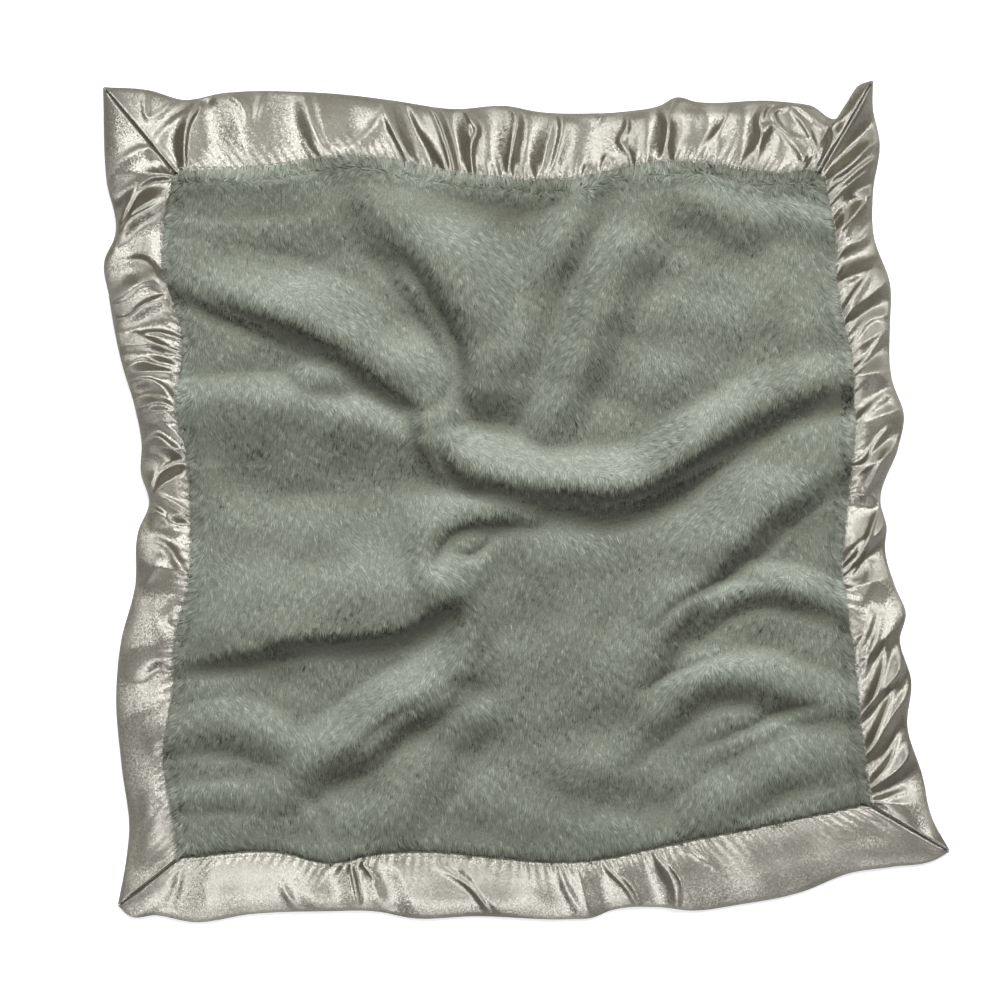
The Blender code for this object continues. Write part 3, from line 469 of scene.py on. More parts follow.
# Fine folds of the satin, in rows like those of the ridges, with heights in hundredths of the pucker
# height
SATIN_FOLD_ROWS = (
    (14, 14, -1147, 1236, 10, -1150, 1193, 18, -1140, 1154, 20, -1107, 1166, 20, -1071, 1196, 16, -1038,
     1208, 8),
    (12, 30, -1128, 1054, 10, -1104, 1103, 22, -1065, 1142, 24, -1017, 1175, 16),
    (30, 10, -1029, 1006, 22, -1029, 1066, 30, -1020, 1130, 30, -992, 1184, 16),
    (30, 20, -998, 1221, 5, -965, 1202, -22, -944, 1218, -5),
    (16, 12, -914, 1227, 8, -872, 1208, 20, -847, 1172, 16, -841, 1139, 6),
    (12, 12, -799, 1224, 10, -808, 1181, 18, -817, 1145, 6),
    (30, 45, -678, 1236, 10, -657, 1151, 30, -621, 1060, 30, -594, 1006, 15),
    (20, 30, -594, 1054, 10, -533, 1060, 22, -485, 1097, 24, -449, 1139, 22, -424, 1187, 10),
    (22, 12, -431, 1187, 10, -409, 1127, 30, -379, 1069, 30, -343, 1006, 15),
    (30, 16, -349, 1187, 12, -319, 1121, 26, -279, 1060, 26, -234, 976, 15),
    (14, 10, -292, 1199, 12, -264, 1151, 30, -240, 1085, 32, -222, 1024, 30, -213, 976, 15),
    (14, 12, -189, 1184, 12, -165, 1145, 28, -150, 1115, 30, -165, 1073, 28, -168, 1024, 26, -159, 970,
     12),
    (18, 18, -47, 1187, 10, -26, 1148, 26, -38, 1076, 26, -56, 994, 14),
    (40, 14, 95, 1181, 14, 107, 1121, 30, 92, 1045, 30, 68, 976, 16),
    (14, 14, 213, 1139, 6, 240, 1172, 16, 295, 1175, 14),
    (12, 12, 304, 1163, 14, 301, 1121, 24, 282, 1082, 26, 307, 1045, 26, 322, 1000, 14),
    (10, 10, 171, 976, 14, 183, 1006, 18, 201, 976, 12),
    (10, 10, 225, 982, 14, 237, 1030, 20, 255, 1018, 20, 264, 982, 12),
    (10, 10, 373, 994, 14, 385, 1024, 18, 403, 1012, 12),
    (20, 20, 403, 1187, 10, 427, 1121, 26, 421, 1060, 26, 427, 994, 14),
    (14, 22, 530, 1066, 6, 566, 1103, 16, 597, 1139, 12, 609, 1181, 5),
    (40, 50, 539, 1181, -10, 548, 1121, -25, 524, 1030, -15),
    (18, 22, 651, 1024, 10, 681, 1054, 22, 705, 1091, 24, 727, 1127, 16),
    (12, 14, 702, 1091, 12, 699, 1145, 24, 727, 1193, 24, 790, 1205, 22, 838, 1175, 24, 881, 1139, 24,
     911, 1130, 22, 965, 1166, 12),
    (14, 12, 711, 1124, 16, 751, 1124, 22, 790, 1088, 24, 817, 1057, 24, 838, 1015, 20, 869, 988, 12),
    (12, 12, 784, 1187, 12, 748, 1175, 20, 745, 1151, 22, 772, 1118, 22, 814, 1091, 22, 850, 1088, 12),
    (12, 12, 802, 1175, 12, 835, 1133, 24, 860, 1085, 24, 881, 1030, 14),
    (12, 12, 914, 1127, 16, 917, 1079, 24, 896, 1036, 22, 878, 994, 10),
    (14, 16, 887, 958, 14, 935, 982, 26, 983, 1018, 28, 1032, 1073, 14),
    (12, 14, 905, 921, 10, 953, 958, 22, 1002, 1000, 24, 1047, 1030, 14),
    (12, 35, 1050, 909, 10, 1008, 921, 26, 968, 915, 26, 956, 885, 24, 950, 834, 22, 917, 792, 12),
    (16, 20, 926, 734, 12, 965, 764, 24, 1014, 789, 24, 1044, 831, 10),
    (16, 18, 923, 644, 12, 965, 668, 22, 1008, 686, 20, 1050, 722, 10),
    (14, 28, 941, 535, 12, 968, 595, 28, 1008, 656, 30, 1041, 704, 14),
    (16, 30, 1080, 559, 12, 1032, 547, 26, 998, 511, 28, 965, 444, 14),
    (20, 12, 977, 390, 10, 1026, 435, 24, 1062, 480, 26, 1095, 523, 10),
    (24, 24, 971, 215, 10, 1008, 257, 26, 1056, 299, 28, 1092, 317, 20, 1128, 275, 8),
    (10, 20, 977, 106, 14, 1011, 112, 24, 1032, 148, 28, 1059, 190, 26, 1086, 221, 10),
    (14, 16, 1014, 21, 10, 1038, 63, 26, 1059, 106, 26, 1086, 148, 10),
    (14, 10, 941, -230, 16, 977, -196, 30, 1014, -145, 34, 1044, -63, 30, 1068, -3, 14),
    (10, 10, 938, -215, 12, 956, -178, 24, 992, -133, 24, 1026, -106, 10),
    (12, 12, 965, -233, 10, 992, -196, 20, 1011, -148, 14),
    (24, 26, 1008, -299, 8, 1026, -254, 20, 1038, -193, 16),
    (14, 18, 953, -492, 16, 986, -450, 28, 1020, -396, 30, 1038, -341, 12),
    (14, 18, 983, -571, 14, 1017, -505, 28, 1041, -438, 28, 1068, -347, 12),
    (18, 20, 995, -662, 16, 1035, -604, 34, 1068, -511, 36, 1089, -420, 20),
    (18, 22, 1005, -776, 16, 1044, -710, 34, 1083, -619, 36, 1122, -547, 22),
    (18, 22, 1017, -891, 16, 1047, -840, 32, 1086, -789, 32, 1128, -710, 16),
    (14, 14, 1026, -906, 10, 1074, -894, 20, 1134, -873, 10),
    (12, 36, -1276, 940, 10, -1240, 1006, 24, -1195, 1042, 28, -1147, 1063, 28, -1110, 1042, 26, -1065,
     994, 14),
    (30, 12, -1258, 785, 12, -1228, 834, 26, -1201, 888, 30, -1171, 943, 30, -1125, 970, 26, -1071, 976,
     12),
    (12, 40, -1264, 758, 12, -1222, 819, 26, -1174, 855, 30, -1122, 882, 28, -1077, 912, 14),
    (20, 50, -1210, 722, 10, -1162, 725, 28, -1131, 707, 34, -1110, 668, 30, -1089, 625, 14),
    (50, 14, -1264, 601, 10, -1213, 616, 24, -1171, 650, 28, -1125, 659, 26, -1083, 631, 12),
    (12, 40, -1258, 544, 12, -1198, 553, 26, -1150, 589, 28, -1095, 613, 16),
    (12, 24, -1174, 505, 12, -1113, 474, 26, -1077, 456, 26, -1035, 447, 14),
    (12, 10, -1150, 505, 10, -1101, 505, 20, -1041, 483, 12),
    (40, 14, -1222, 414, 10, -1156, 435, 30, -1107, 420, 30, -1041, 408, 14),
    (14, 40, -1204, 353, 14, -1144, 363, 36, -1095, 344, 40, -1047, 296, 18),
    (30, 14, -1180, 275, 12, -1113, 299, 28, -1065, 287, 14),
    (12, 14, -1095, 236, 10, -1056, 208, 24, -1032, 172, 24, -1014, 124, 12),
    (14, 40, -1144, 172, 14, -1110, 193, 28, -1074, 169, 28, -1029, 130, 14),
    (45, 16, -1144, -9, 14, -1131, 51, 32, -1110, 100, 34, -1065, 130, 16),
    (12, 12, -1119, 21, 12, -1077, 3, 26, -1035, -21, 26, -995, -48, 12),
    (14, 40, -1144, -24, 12, -1107, -33, 30, -1071, -76, 30, -1035, -94, 12),
    (14, 22, -1107, -118, 10, -1071, -142, 26, -1041, -190, 30, -1008, -242, 16),
    (30, 30, -1168, -269, 8, -1137, -224, 18, -1107, -178, 12),
    (24, 24, -1041, -299, -5, -1083, -353, -30, -1047, -396, -8),
    (30, 30, -1150, -541, -10, -1107, -505, -34, -1059, -517, -12),
    (22, 22, -1083, -601, 6, -1089, -692, 16, -1083, -813, 10),
    (14, 14, -1107, -903, -6, -1065, -906, -20, -1053, -903, -6),
    (20, 20, -1077, -1221, -6, -1053, -1160, -18, -1041, -1109, -6),
    (16, 22, -739, -1151, 6, -715, -1190, 18, -690, -1230, 8),
    (14, 12, -530, -1088, 14, -518, -1145, 22, -506, -1205, 12),
    (10, 10, -491, -1094, 12, -455, -1136, 12),
    (22, 22, -618, -1121, -5, -579, -1103, -20, -557, -1091, -6),
    (10, 18, -273, -1094, 10, -213, -1130, 20, -159, -1172, 20, -116, -1230, 8),
    (20, 24, 101, -1121, 8, 125, -1175, 20, 156, -1230, 8),
    (12, 14, 234, -1097, 10, 273, -1133, 22, 307, -1169, 22, 337, -1218, 12),
    (35, 10, 455, -1224, 14, 455, -1157, 30, 427, -1109, 30, 388, -1066, 12),
    (12, 8, 434, -1036, 16, 494, -1060, 20, 566, -1103, 6),
    (60, 55, -1137, -1054, 10, -1128, -979, 28, -1131, -888, 30, -1147, -813, 10),
    (60, 40, 101, -1184, 6, -140, -1205, 12, -443, -1196, 16, -745, -1181, 18, -986, -1196, 18, -1107,
     -1175, 6),
    (80, 45, 1128, -1030, 6, 887, -1091, 18, 645, -1151, 20, 494, -1169, 10),
    (50, 30, 524, 1163, 6, 343, 1157, 14, 162, 1151, 16, 41, 1157, 5),
    (40, 30, 917, 1097, 5, 705, 1157, 10, 524, 1163, 12, 464, 1157, 4),
)
PLUSH_CREASES = [rounded(row) for row in PLUSH_CREASE_ROWS]
SATIN_FOLDS = [rounded(row) for row in SATIN_FOLD_ROWS]


def waves(points, seed, count, shortest, longest):
    """Gentle unevenness: a sum of waves of many directions, with a mean square of a half."""
    draw = np.random.default_rng(seed)
    towards = draw.normal(0, 1, (count, points.shape[1]))
    towards /= np.linalg.norm(towards, axis=1, keepdims=True)
    length = draw.uniform(shortest, longest, count)
    phase = draw.uniform(0, 2 * math.pi, count)
    total = np.zeros(len(points))
    for k in range(count):
        total += np.sin(2 * math.pi / length[k] * (points @ towards[k]) + phase[k])
    return total / math.sqrt(count)


def in_batches(function, points, size=4000):
    """The function's values at many points, worked out a few thousand at a time."""
    return np.concatenate([function(points[k:k + size]) for k in range(0, len(points), size)])


def panel_point(u, v):
    """A plan point of the plush: u across and v up, each from 0 to 1 between the four seams."""
    top, bottom = seam_point("top", u), seam_point("bottom", u)
    left, right = seam_point("left", 1 - v), seam_point("right", 1 - v)
    u, v = u[..., None], v[..., None]
    corners = (
        (1 - u) * v * seam_corner("top_left")
        + u * v * seam_corner("top_right")
        + u * (1 - v) * seam_corner("bottom_right")
        + (1 - u) * (1 - v) * seam_corner("bottom_left")
    )
    return v * top + (1 - v) * bottom + (1 - u) * left + u * right - corners


def held_lift(plan):
    """The lift of the stitched seam and binding."""
    return HELD_SHARE * in_batches(relief, plan)


def near_lift(points, folds):
    """What the folds that pass near these points lift them by, in shares, crests up and hollows down."""
    shares = points / HALF_PANEL
    low, high = shares.min(axis=0) - FOLD_REACH, shares.max(axis=0) + FOLD_REACH
    total = np.zeros(len(points))
    for fold in folds:
        crest = fold[2][:, :2]
        if (crest.max(axis=0) > low).all() and (crest.min(axis=0) < high).all():
            total += ridge_lift(shares, fold)
    return total


def satin_folds(points):
    """The fine folds of the satin, as shares of the pucker height."""
    return near_lift(points, SATIN_FOLDS)


def add_object(name, data):
    made = bpy.data.objects.new(name, data)
    bpy.context.scene.collection.objects.link(made)
    return made


def add_piece(name, mesh, finish, replaced=()):
    """A finished piece that rides on the blanket and stands for these nodes of the frame."""
    made = add_object(name, mesh)
    mesh.materials.clear()
    mesh.materials.append(finish)
    mesh.shade_smooth()
    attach(made, "root")
    if replaced:
        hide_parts(*replaced)
    return made


def finished(name, bm):
    """The bmesh as a mesh of this name."""
    mesh = bpy.data.meshes.new(name)
    bm.to_mesh(mesh)
    bm.free()
    return mesh


def read_points(mesh):
    places = np.empty(len(mesh.vertices) * 3, np.float32)
    mesh.vertices.foreach_get("co", places)
    return places.reshape(-1, 3)


def grid(name, columns, rows):
    """A level grid from 0 to 1 each way, with its places as an own UV map, and those places."""
    bm = bmesh.new()
    bmesh.ops.create_grid(bm, x_segments=columns, y_segments=rows, size=0.5, calc_uvs=False)
    bmesh.ops.translate(bm, verts=bm.verts, vec=(0.5, 0.5, 0))
    layer = bm.loops.layers.uv.new("OFBake")
    for face in bm.faces:
        for loop in face.loops:
            loop[layer].uv = loop.vert.co.xy
    mesh = finished(name, bm)
    return mesh, read_points(mesh)[:, :2].astype(float)


def move_points(mesh, plan, heights):
    """Puts the mesh's points at these plan places and heights, from the middle of the outline."""
    points = np.column_stack([plan - ORIGIN, heights])
    mesh.vertices.foreach_set("co", points.astype(np.float32).ravel())
    mesh.update()


def applied(source):
    """A new mesh of the object as its modifiers leave it. The object is taken away."""
    bpy.context.view_layer.update()
    graph = bpy.context.evaluated_depsgraph_get()
    made = bpy.data.meshes.new_from_object(source.evaluated_get(graph), depsgraph=graph)
    bpy.data.objects.remove(source)
    return made


def closed(mesh, thickness, offset):
    """The mesh made a closed sheet of this thickness."""
    bm = bmesh.new()
    bm.from_mesh(mesh)
    bmesh.ops.recalc_face_normals(bm, faces=bm.faces)
    bm.to_mesh(mesh)
    bm.free()
    source = add_object("source", mesh)
    wall = source.modifiers.new("wall", "SOLIDIFY")
    wall.thickness = thickness
    wall.offset = offset
    return applied(source)


def strip_rows(side, along):
    """Where these rows of a binding lie: their shares of the seam and of the edge, and their crease."""
    rows = creases(side)
    final = len(rows) - 1
    index = along * final
    first, last = index < 1, index > final - 1
    index = np.where(first, index**1.6, index)
    index = np.where(last, final - (final - index)**1.6, index)
    low = np.clip(index.astype(int), 0, final - 1)
    part = index - low
    pucker, after = rows[low, 2], rows[low + 1, 2]
    towards = np.where(after > pucker, part, 1 - part)
    swing = 0.55 * eased(towards) + 0.45 * towards**1.9
    lower, higher = np.minimum(pucker, after), np.maximum(pucker, after)
    crease = (lower + (higher - lower) * swing) * CREASE_GAINS[side]
    seam_share, edge_share = (
        rows[low, k] + (rows[low + 1, k] - rows[low, k]) * part for k in range(2)
    )
    return seam_share, edge_share, crease


def satin_points(side, path, along):
    """The binding's points: their plan places and heights. `path` is 0 at the upper inner edge of the
    satin and 1 at the lower one."""
    step = path * STRIP_STEPS
    to_fold = np.clip((step - TURNED_STEPS) / UPPER_STEPS, 0, 1)
    from_fold = np.clip((step - TURNED_STEPS - UPPER_STEPS) / LOWER_STEPS, 0, 1)
    under = np.maximum(TURNED_STEPS - step, step - STRIP_STEPS + TURNED_STEPS) / TURNED_STEPS
    under = np.clip(under, 0, 1)
    upper = from_fold <= 0
    across = np.where(upper, 1 - (1 - to_fold)**UPPER_CROWDING, 1 - from_fold**LOWER_CROWDING)
    across = np.where(under > 0, under * TURNED_WIDTH / BINDING_WIDTH, across)
    free = np.clip((across - SLOT_SHARE) / (1 - SLOT_SHARE), 0, 1)
    seam_share, edge_share, crease = strip_rows(side, along)
    share = seam_share + (edge_share - seam_share) * across
    plan = strip_point(side, share, across)
    lift = held_lift(plan)
    start, end = (seam_corner(corner) for corner in SIDE_ENDS[side])
    length = np.linalg.norm(end - start)
    to_mitre = length * np.minimum(share, 1 - share)
    settled = eased(to_mitre / MITRE_SETTLING)
    groove = np.exp(-((to_mitre - length * end_share(side)) / MITRE_GROOVE_WIDTH)**2)
    uneven = waves(plan, *UNEVEN_WAVES) * UNEVEN_HEIGHT
    seam_pleats = np.sin(2 * math.pi * share * length / PLEAT_SPACING + 2 * waves(plan, *PLEAT_WAVES))
    pleats = PLEAT_HEIGHT * seam_pleats * np.exp(-across * 7) * eased(across * 18)
    out = np.clip(across, 0, 1)
    top = (
        hermite(UPPER_HEIGHTS, out) + lift
        + crease * PUCKER_HEIGHT * hermite(CREASE_PROFILE_SHARES, out)
        + settled * eased(across * 6) * eased((1 - across) * 12) * uneven
        + settled * pleats
        - MITRE_GROOVE_DEPTH * groove * eased((1 - across) * 6)
    )
    folds = in_batches(satin_folds, plan, 1000)
    top += PUCKER_HEIGHT * folds * eased(across * 20) * eased((1 - across) * 14)
    floor = np.maximum(lift - REST_CUT, 0)
    low = hermite(LOWER_HEIGHTS, free) + floor
    low = np.maximum(low + (lift - floor) * eased(1 - free * 4), SATIN_THICKNESS)
    top = np.maximum(top, floor + EDGE_RISE)
    inward = np.where(under > 0, TURNED_DEPTH * np.clip(under * TURNED_STEPS + 0.5, 0, 1), 0)
    return plan, np.where(upper, top - inward, low + inward)


def add_satin(side, finish):
    """One strip of satin, folded over the edge and creased."""
    mesh, places = grid(f"satin_{side}", STRIP_STEPS, STRIP_ROWS)
    plan, heights = satin_points(side, places[:, 0], places[:, 1])
    move_points(mesh, plan, heights)
    made = closed(mesh, SATIN_THICKNESS, 0)
    made.name = f"satin_{side}"
    strip = add_piece(f"satin_{side}", made, finish, [f"binding_{side}"])


class Panel:
    """The lie of the plush: heights and slopes on a grid, read at any place."""

    def __init__(self):
        steps = np.linspace(0, 1, PANEL_STEPS + 1)
        u, v = (each.ravel() for each in np.meshgrid(steps, steps, indexing="ij"))
        plan = panel_point(u, v)
        self.fields = {"lift": self.lift_at(plan, u, v)}
        for name, step in (("slope_x", (PANEL_NUDGE, 0)), ("slope_y", (0, PANEL_NUDGE))):
            ahead = in_batches(self.rumpled, plan + np.array(step))
            behind = in_batches(self.rumpled, plan - np.array(step))
            self.fields[name] = (ahead - behind) / (2 * PANEL_NUDGE)
        for name, field in self.fields.items():
            self.fields[name] = field.reshape(PANEL_STEPS + 1, PANEL_STEPS + 1)

    @staticmethod
    def rumpled(plan):
        """The ridges with the gentle swells and lumps of soft cloth, and its creases."""
        swells = SWELL_HEIGHT * waves(plan, *SWELL_WAVES)
        lumps = LUMP_HEIGHT * waves(plan, *LUMP_WAVES)
        return relief(plan) + swells + lumps + FOLD_HEIGHT * near_lift(plan, PLUSH_CREASES)

    @staticmethod
    def inside(u, v):
        """How far a place is inside the seam."""
        return 2 * HALF_PANEL * np.minimum(np.minimum(u, 1 - u), np.minimum(v, 1 - v))

    def lift_at(self, plan, u, v):
        freed = eased(self.inside(u, v) / HELD_MARGIN)
        held = HELD_SHARE + (1 - HELD_SHARE) * freed
        loose = in_batches(self.rumpled, plan) - in_batches(relief, plan)
        return held * in_batches(relief, plan) + loose * freed

    def read(self, name, u, v):
        field = self.fields[name]
        x, y = np.clip(u, 0, 1) * PANEL_STEPS, np.clip(v, 0, 1) * PANEL_STEPS
        i = np.minimum(x.astype(int), PANEL_STEPS - 1)
        j = np.minimum(y.astype(int), PANEL_STEPS - 1)
        x, y = x - i, y - j
        return (
            (1 - x) * (1 - y) * field[i, j] + x * (1 - y) * field[i + 1, j]
            + (1 - x) * y * field[i, j + 1] + x * y * field[i + 1, j + 1]
        )


def ground_height(panel, side, u, v):
    """The height of the plush's lower pile, on the face or on the back."""
    lift = panel.read("lift", u, v)
    rim = eased(panel.inside(u, v) / PILE_RIM)
    if side == "face":
        return lift + FACE_HEM_TOP + LOWER_PILE * rim
    resting = np.maximum(lift - REST_CUT, 0) + BACK_PILE_SPACE
    return (BACK_HEM_LOW + lift) * (1 - rim) + resting * rim


def painted_slope_tone(slope_y):
    """Painted light and shade: the pile's tone, lighter on slopes that face +Y, towards the key lamp,
    and darker on slopes that face away from it.
    """
    return 0.49 + 0.6 * (np.clip(0.5 - 0.6 * slope_y, 0, 1) - 0.5)


def add_ground(panel, side, finish):
    """The knitted ground of one panel with its dense lower pile, out to its hem inside the binding."""
    name = f"{side}_ground"
    mesh, places = grid(name, GROUND_STEPS, GROUND_STEPS)
    spread = 0.5 + (places - 0.5) * (1 + HEM_REACH / HALF_PANEL)
    inner = np.clip(spread, 0, 1)
    plan = panel_point(*inner.T) + (spread - inner) * 2 * HALF_PANEL
    heights = ground_height(panel, side, *inner.T)
    hidden = np.abs(spread - inner).max(axis=1) * 2 * HALF_PANEL
    hem = held_lift(plan) + (FACE_HEM_TOP - HEM_SINK if side == "face" else BACK_HEM_LOW + HEM_SINK)
    into_hem = eased(hidden / HEM_FADE)
    move_points(mesh, plan, heights * (1 - into_hem) + hem * into_hem)
    # the tone of the lower pile is the painted light and shade of its slopes
    tone = mesh.attributes.new("tone", "FLOAT", "POINT")
    tone.data.foreach_set("value", painted_slope_tone(panel.read("slope_y", *inner.T)).astype(np.float32))
    made = closed(mesh, GROUND_THICKNESS, -1 if side == "face" else 1)
    return add_piece(name, made, finish, [f"{side}_panel"])


def tuft_template():
    """One tuft of pile, one unit long and one unit wide at its root, that points along +X."""
    bm = bmesh.new()
    bmesh.ops.create_cone(bm, cap_ends=True, segments=3, radius1=0.5, radius2=0, depth=1)
    bmesh.ops.translate(bm, verts=bm.verts, vec=(0, 0, 0.5))
    bmesh.ops.rotate(bm, verts=bm.verts, cent=(0, 0, 0), matrix=QUARTER_TURN)
    bmesh.ops.remove_doubles(bm, verts=bm.verts, dist=0.001)
    layer = bm.loops.layers.uv.new("strand")
    for face in bm.faces:
        for k, loop in enumerate(face.loops):
            loop[layer].uv = (min(max(loop.vert.co.x, 0), 1), 0.5 * k)
    return add_object("tuft", finished("tuft", bm))


def stitch_template():
    """One stitch: a short rounded length of thread along X."""
    bm = bmesh.new()
    bmesh.ops.create_uvsphere(bm, u_segments=6, v_segments=5, radius=0.5)
    bmesh.ops.rotate(bm, verts=bm.verts, cent=(0, 0, 0), matrix=QUARTER_TURN)
    layer = bm.loops.layers.uv.new("strand")
    for face in bm.faces:
        for loop in face.loops:
            loop[layer].uv = (loop.vert.co.x + 0.5, 0)
    return add_object("stitch", finished("stitch", bm))


class Nodes:
    """Short ways to add nodes to a tree and to join them."""

    def __init__(self, tree):
        self.tree = tree

    def set(self, node, *first, **others):
        """Links or sets the node's inputs: the first ones in order, and others by name."""
        named = ((name.replace("_", " "), value) for name, value in others.items())
        for name, value in (*enumerate(first), *named):
            if isinstance(value, bpy.types.NodeSocket):
                self.tree.links.new(value, node.inputs[name])
            else:
                node.inputs[name].default_value = value

    def add(self, kind, *first, out=0, **others):
        """One output of a new node. Values with a name in small letters are the node's settings."""
        node = self.tree.nodes.new(kind)
        for name in [name for name in others if name.islower()]:
            setattr(node, name, others.pop(name))
        self.set(node, *first, **others)
        return node.outputs[out] if node.outputs else node

    def ramp(self, value, *stops):
        """The value as a colour: (place, colour) by steps."""
        colour = self.add("ShaderNodeValToRGB", value)
        elements = colour.node.color_ramp.elements
        while len(elements) < len(stops):
            elements.new(0.5)
        for element, (place, shade) in zip(elements, stops):
            element.position = place
            element.color = shade
        return colour

    def multiplied(self, first, second):
        """The product of two colours."""
        return self.add("ShaderNodeMix", out="Result", data_type="RGBA", blend_type="MULTIPLY",
                        Factor=1, A=first, B=second)

    def maths(self, operation, *values):
        return self.add("ShaderNodeMath", *values, operation=operation)

    def vectors(self, operation, *values):
        return self.add("ShaderNodeVectorMath", *values, operation=operation)

    def limited(self, value, low, high, start, end):
        """A value mapped from one range to another and held inside it."""
        return self.add("ShaderNodeMapRange", Value=value, From_Min=low, From_Max=high,
                        To_Min=start, To_Max=end)

    def object_place(self):
        return self.add("ShaderNodeTexCoord", out="Object")


def planting(template):
    """Nodes that set the template on every point, turned, scaled and toned by the point's values."""
    tree = bpy.data.node_groups.new(f"{template.name}_planting", "GeometryNodeTree")
    for way in ("INPUT", "OUTPUT"):
        tree.interface.new_socket("Geometry", in_out=way, socket_type="NodeSocketGeometry")
    nodes = Nodes(tree)

    def value(name, kind="FLOAT_VECTOR"):
        return nodes.add("GeometryNodeInputNamedAttribute", out="Attribute", data_type=kind, Name=name)

    planted = nodes.add(
        "GeometryNodeInstanceOnPoints",
        out="Instances",
        Points=nodes.add("NodeGroupInput", out="Geometry"),
        Instance=nodes.add("GeometryNodeObjectInfo", out="Geometry", Object=template),
        Rotation=value("turn"),
        Scale=value("size"),
    )
    real = nodes.add("GeometryNodeRealizeInstances", planted)
    parts = nodes.add("ShaderNodeSeparateXYZ", value("strand")).node.outputs
    toned = nodes.maths("MULTIPLY_ADD", parts["Y"], 0.03, value("tone", "FLOAT"))
    place = nodes.add("ShaderNodeCombineXYZ", parts["X"], toned)
    kept = nodes.add(
        "GeometryNodeStoreNamedAttribute",
        out="Geometry",
        data_type="FLOAT2",
        domain="CORNER",
        Name="OFBake",
        Geometry=real,
        Value=place,
    )
    nodes.add("NodeGroupOutput", kept)
    return tree


def turns(along, up):
    """The three turning angles that bring X onto `along` and Z next to `up`."""
    along = along / np.linalg.norm(along, axis=1, keepdims=True)
    side = np.cross(up, along)
    side /= np.linalg.norm(side, axis=1, keepdims=True)
    up = np.cross(along, side)
    return np.column_stack([
        np.arctan2(side[:, 2], up[:, 2]),
        np.arcsin(np.clip(-along[:, 2], -1, 1)),
        np.arctan2(along[:, 1], along[:, 0]),
    ])


def soften(mesh, softness):
    """Turns the shading of each tuft towards the cloth that it stands on."""
    count = len(mesh.vertices)
    own, ground = np.empty(count * 3, np.float32), np.empty(count * 3, np.float32)
    mesh.vertices.foreach_get("normal", own)
    mesh.attributes["up"].data.foreach_get("vector", ground)
    mixed = ((1 - softness) * own + softness * ground).reshape(-1, 3)
    mixed /= np.linalg.norm(mixed, axis=1, keepdims=True) + 1e-9
    mesh.shade_smooth()
    mesh.normals_split_custom_set_from_vertices(mixed.tolist())


def plant(name, points, along, up, sizes, tones, tree, softness=0):
    """A mesh of the template set on all these points. Its shading leans to `up` by the softness."""
    mesh = bpy.data.meshes.new(name)
    mesh.from_pydata(points.tolist(), [], [])
    for label, kind, values in (
        ("turn", "FLOAT_VECTOR", turns(along, up)),
        ("size", "FLOAT_VECTOR", sizes),
        ("up", "FLOAT_VECTOR", up),
        ("tone", "FLOAT", tones),
    ):
        attribute = mesh.attributes.new(label, kind, "POINT")
        key = "value" if kind == "FLOAT" else "vector"
        attribute.data.foreach_set(key, np.asarray(values, np.float32).ravel())
    source = add_object(name, mesh)
    source.modifiers.new("planting", "NODES").node_group = tree
    made = applied(source)
    if softness:
        soften(made, softness)
    for label in ("turn", "size", "up", "tone", "strand"):
        attribute = made.attributes.get(label)
        if attribute:
            made.attributes.remove(attribute)
    made.name = name
    return made


def jittered(spacing, seed):
    """Even but unordered places over the whole panel, and the source of the draws."""
    draw = np.random.default_rng(seed)
    count = round(2 * HALF_PANEL / spacing)
    steps = (np.arange(count) + 0.5) / count
    u, v = (each.ravel() for each in np.meshgrid(steps, steps, indexing="ij"))
    u = np.clip(u + draw.uniform(-0.55, 0.55, len(u)) / count, 0.001, 0.999)
    v = np.clip(v + draw.uniform(-0.55, 0.55, len(v)) / count, 0.001, 0.999)
    return u, v, draw


def laid(nap_x, nap_y, slope_x, slope_y, pitch, facing):
    """The way that tufts point, by their nap and their pitch off the cloth, and the cloth's normals."""
    length = np.hypot(nap_x, nap_y)
    nap_x, nap_y = nap_x / length, nap_y / length
    normal = facing * np.column_stack([-slope_x, -slope_y, np.ones(len(nap_x))])
    normal /= np.linalg.norm(normal, axis=1, keepdims=True)
    along = np.column_stack([nap_x, nap_y, slope_x * nap_x + slope_y * nap_y])
    return along + normal * pitch[:, None], normal


def plant_patches(name, per_side, u, v, roots, tree, finish, lowest=None):
    """The tufts in square patches, each a piece of its own. None of it lies under the lowest height."""
    column, row = (np.minimum((share * per_side).astype(int), per_side - 1) for share in (u, v))
    patch = column * per_side + row
    pieces = []
    for k in range(per_side**2):
        chosen = (values[patch == k] for values in roots)
        mesh = plant(f"{name}_{k + 1}", *chosen, tree, TUFT_SOFTNESS)
        if lowest is not None:
            points = read_points(mesh)
            points[:, 2] = np.maximum(points[:, 2], lowest)
            mesh.vertices.foreach_set("co", points.ravel())
        pieces.append(add_piece(f"{name}_{k + 1}", mesh, finish))
    return pieces


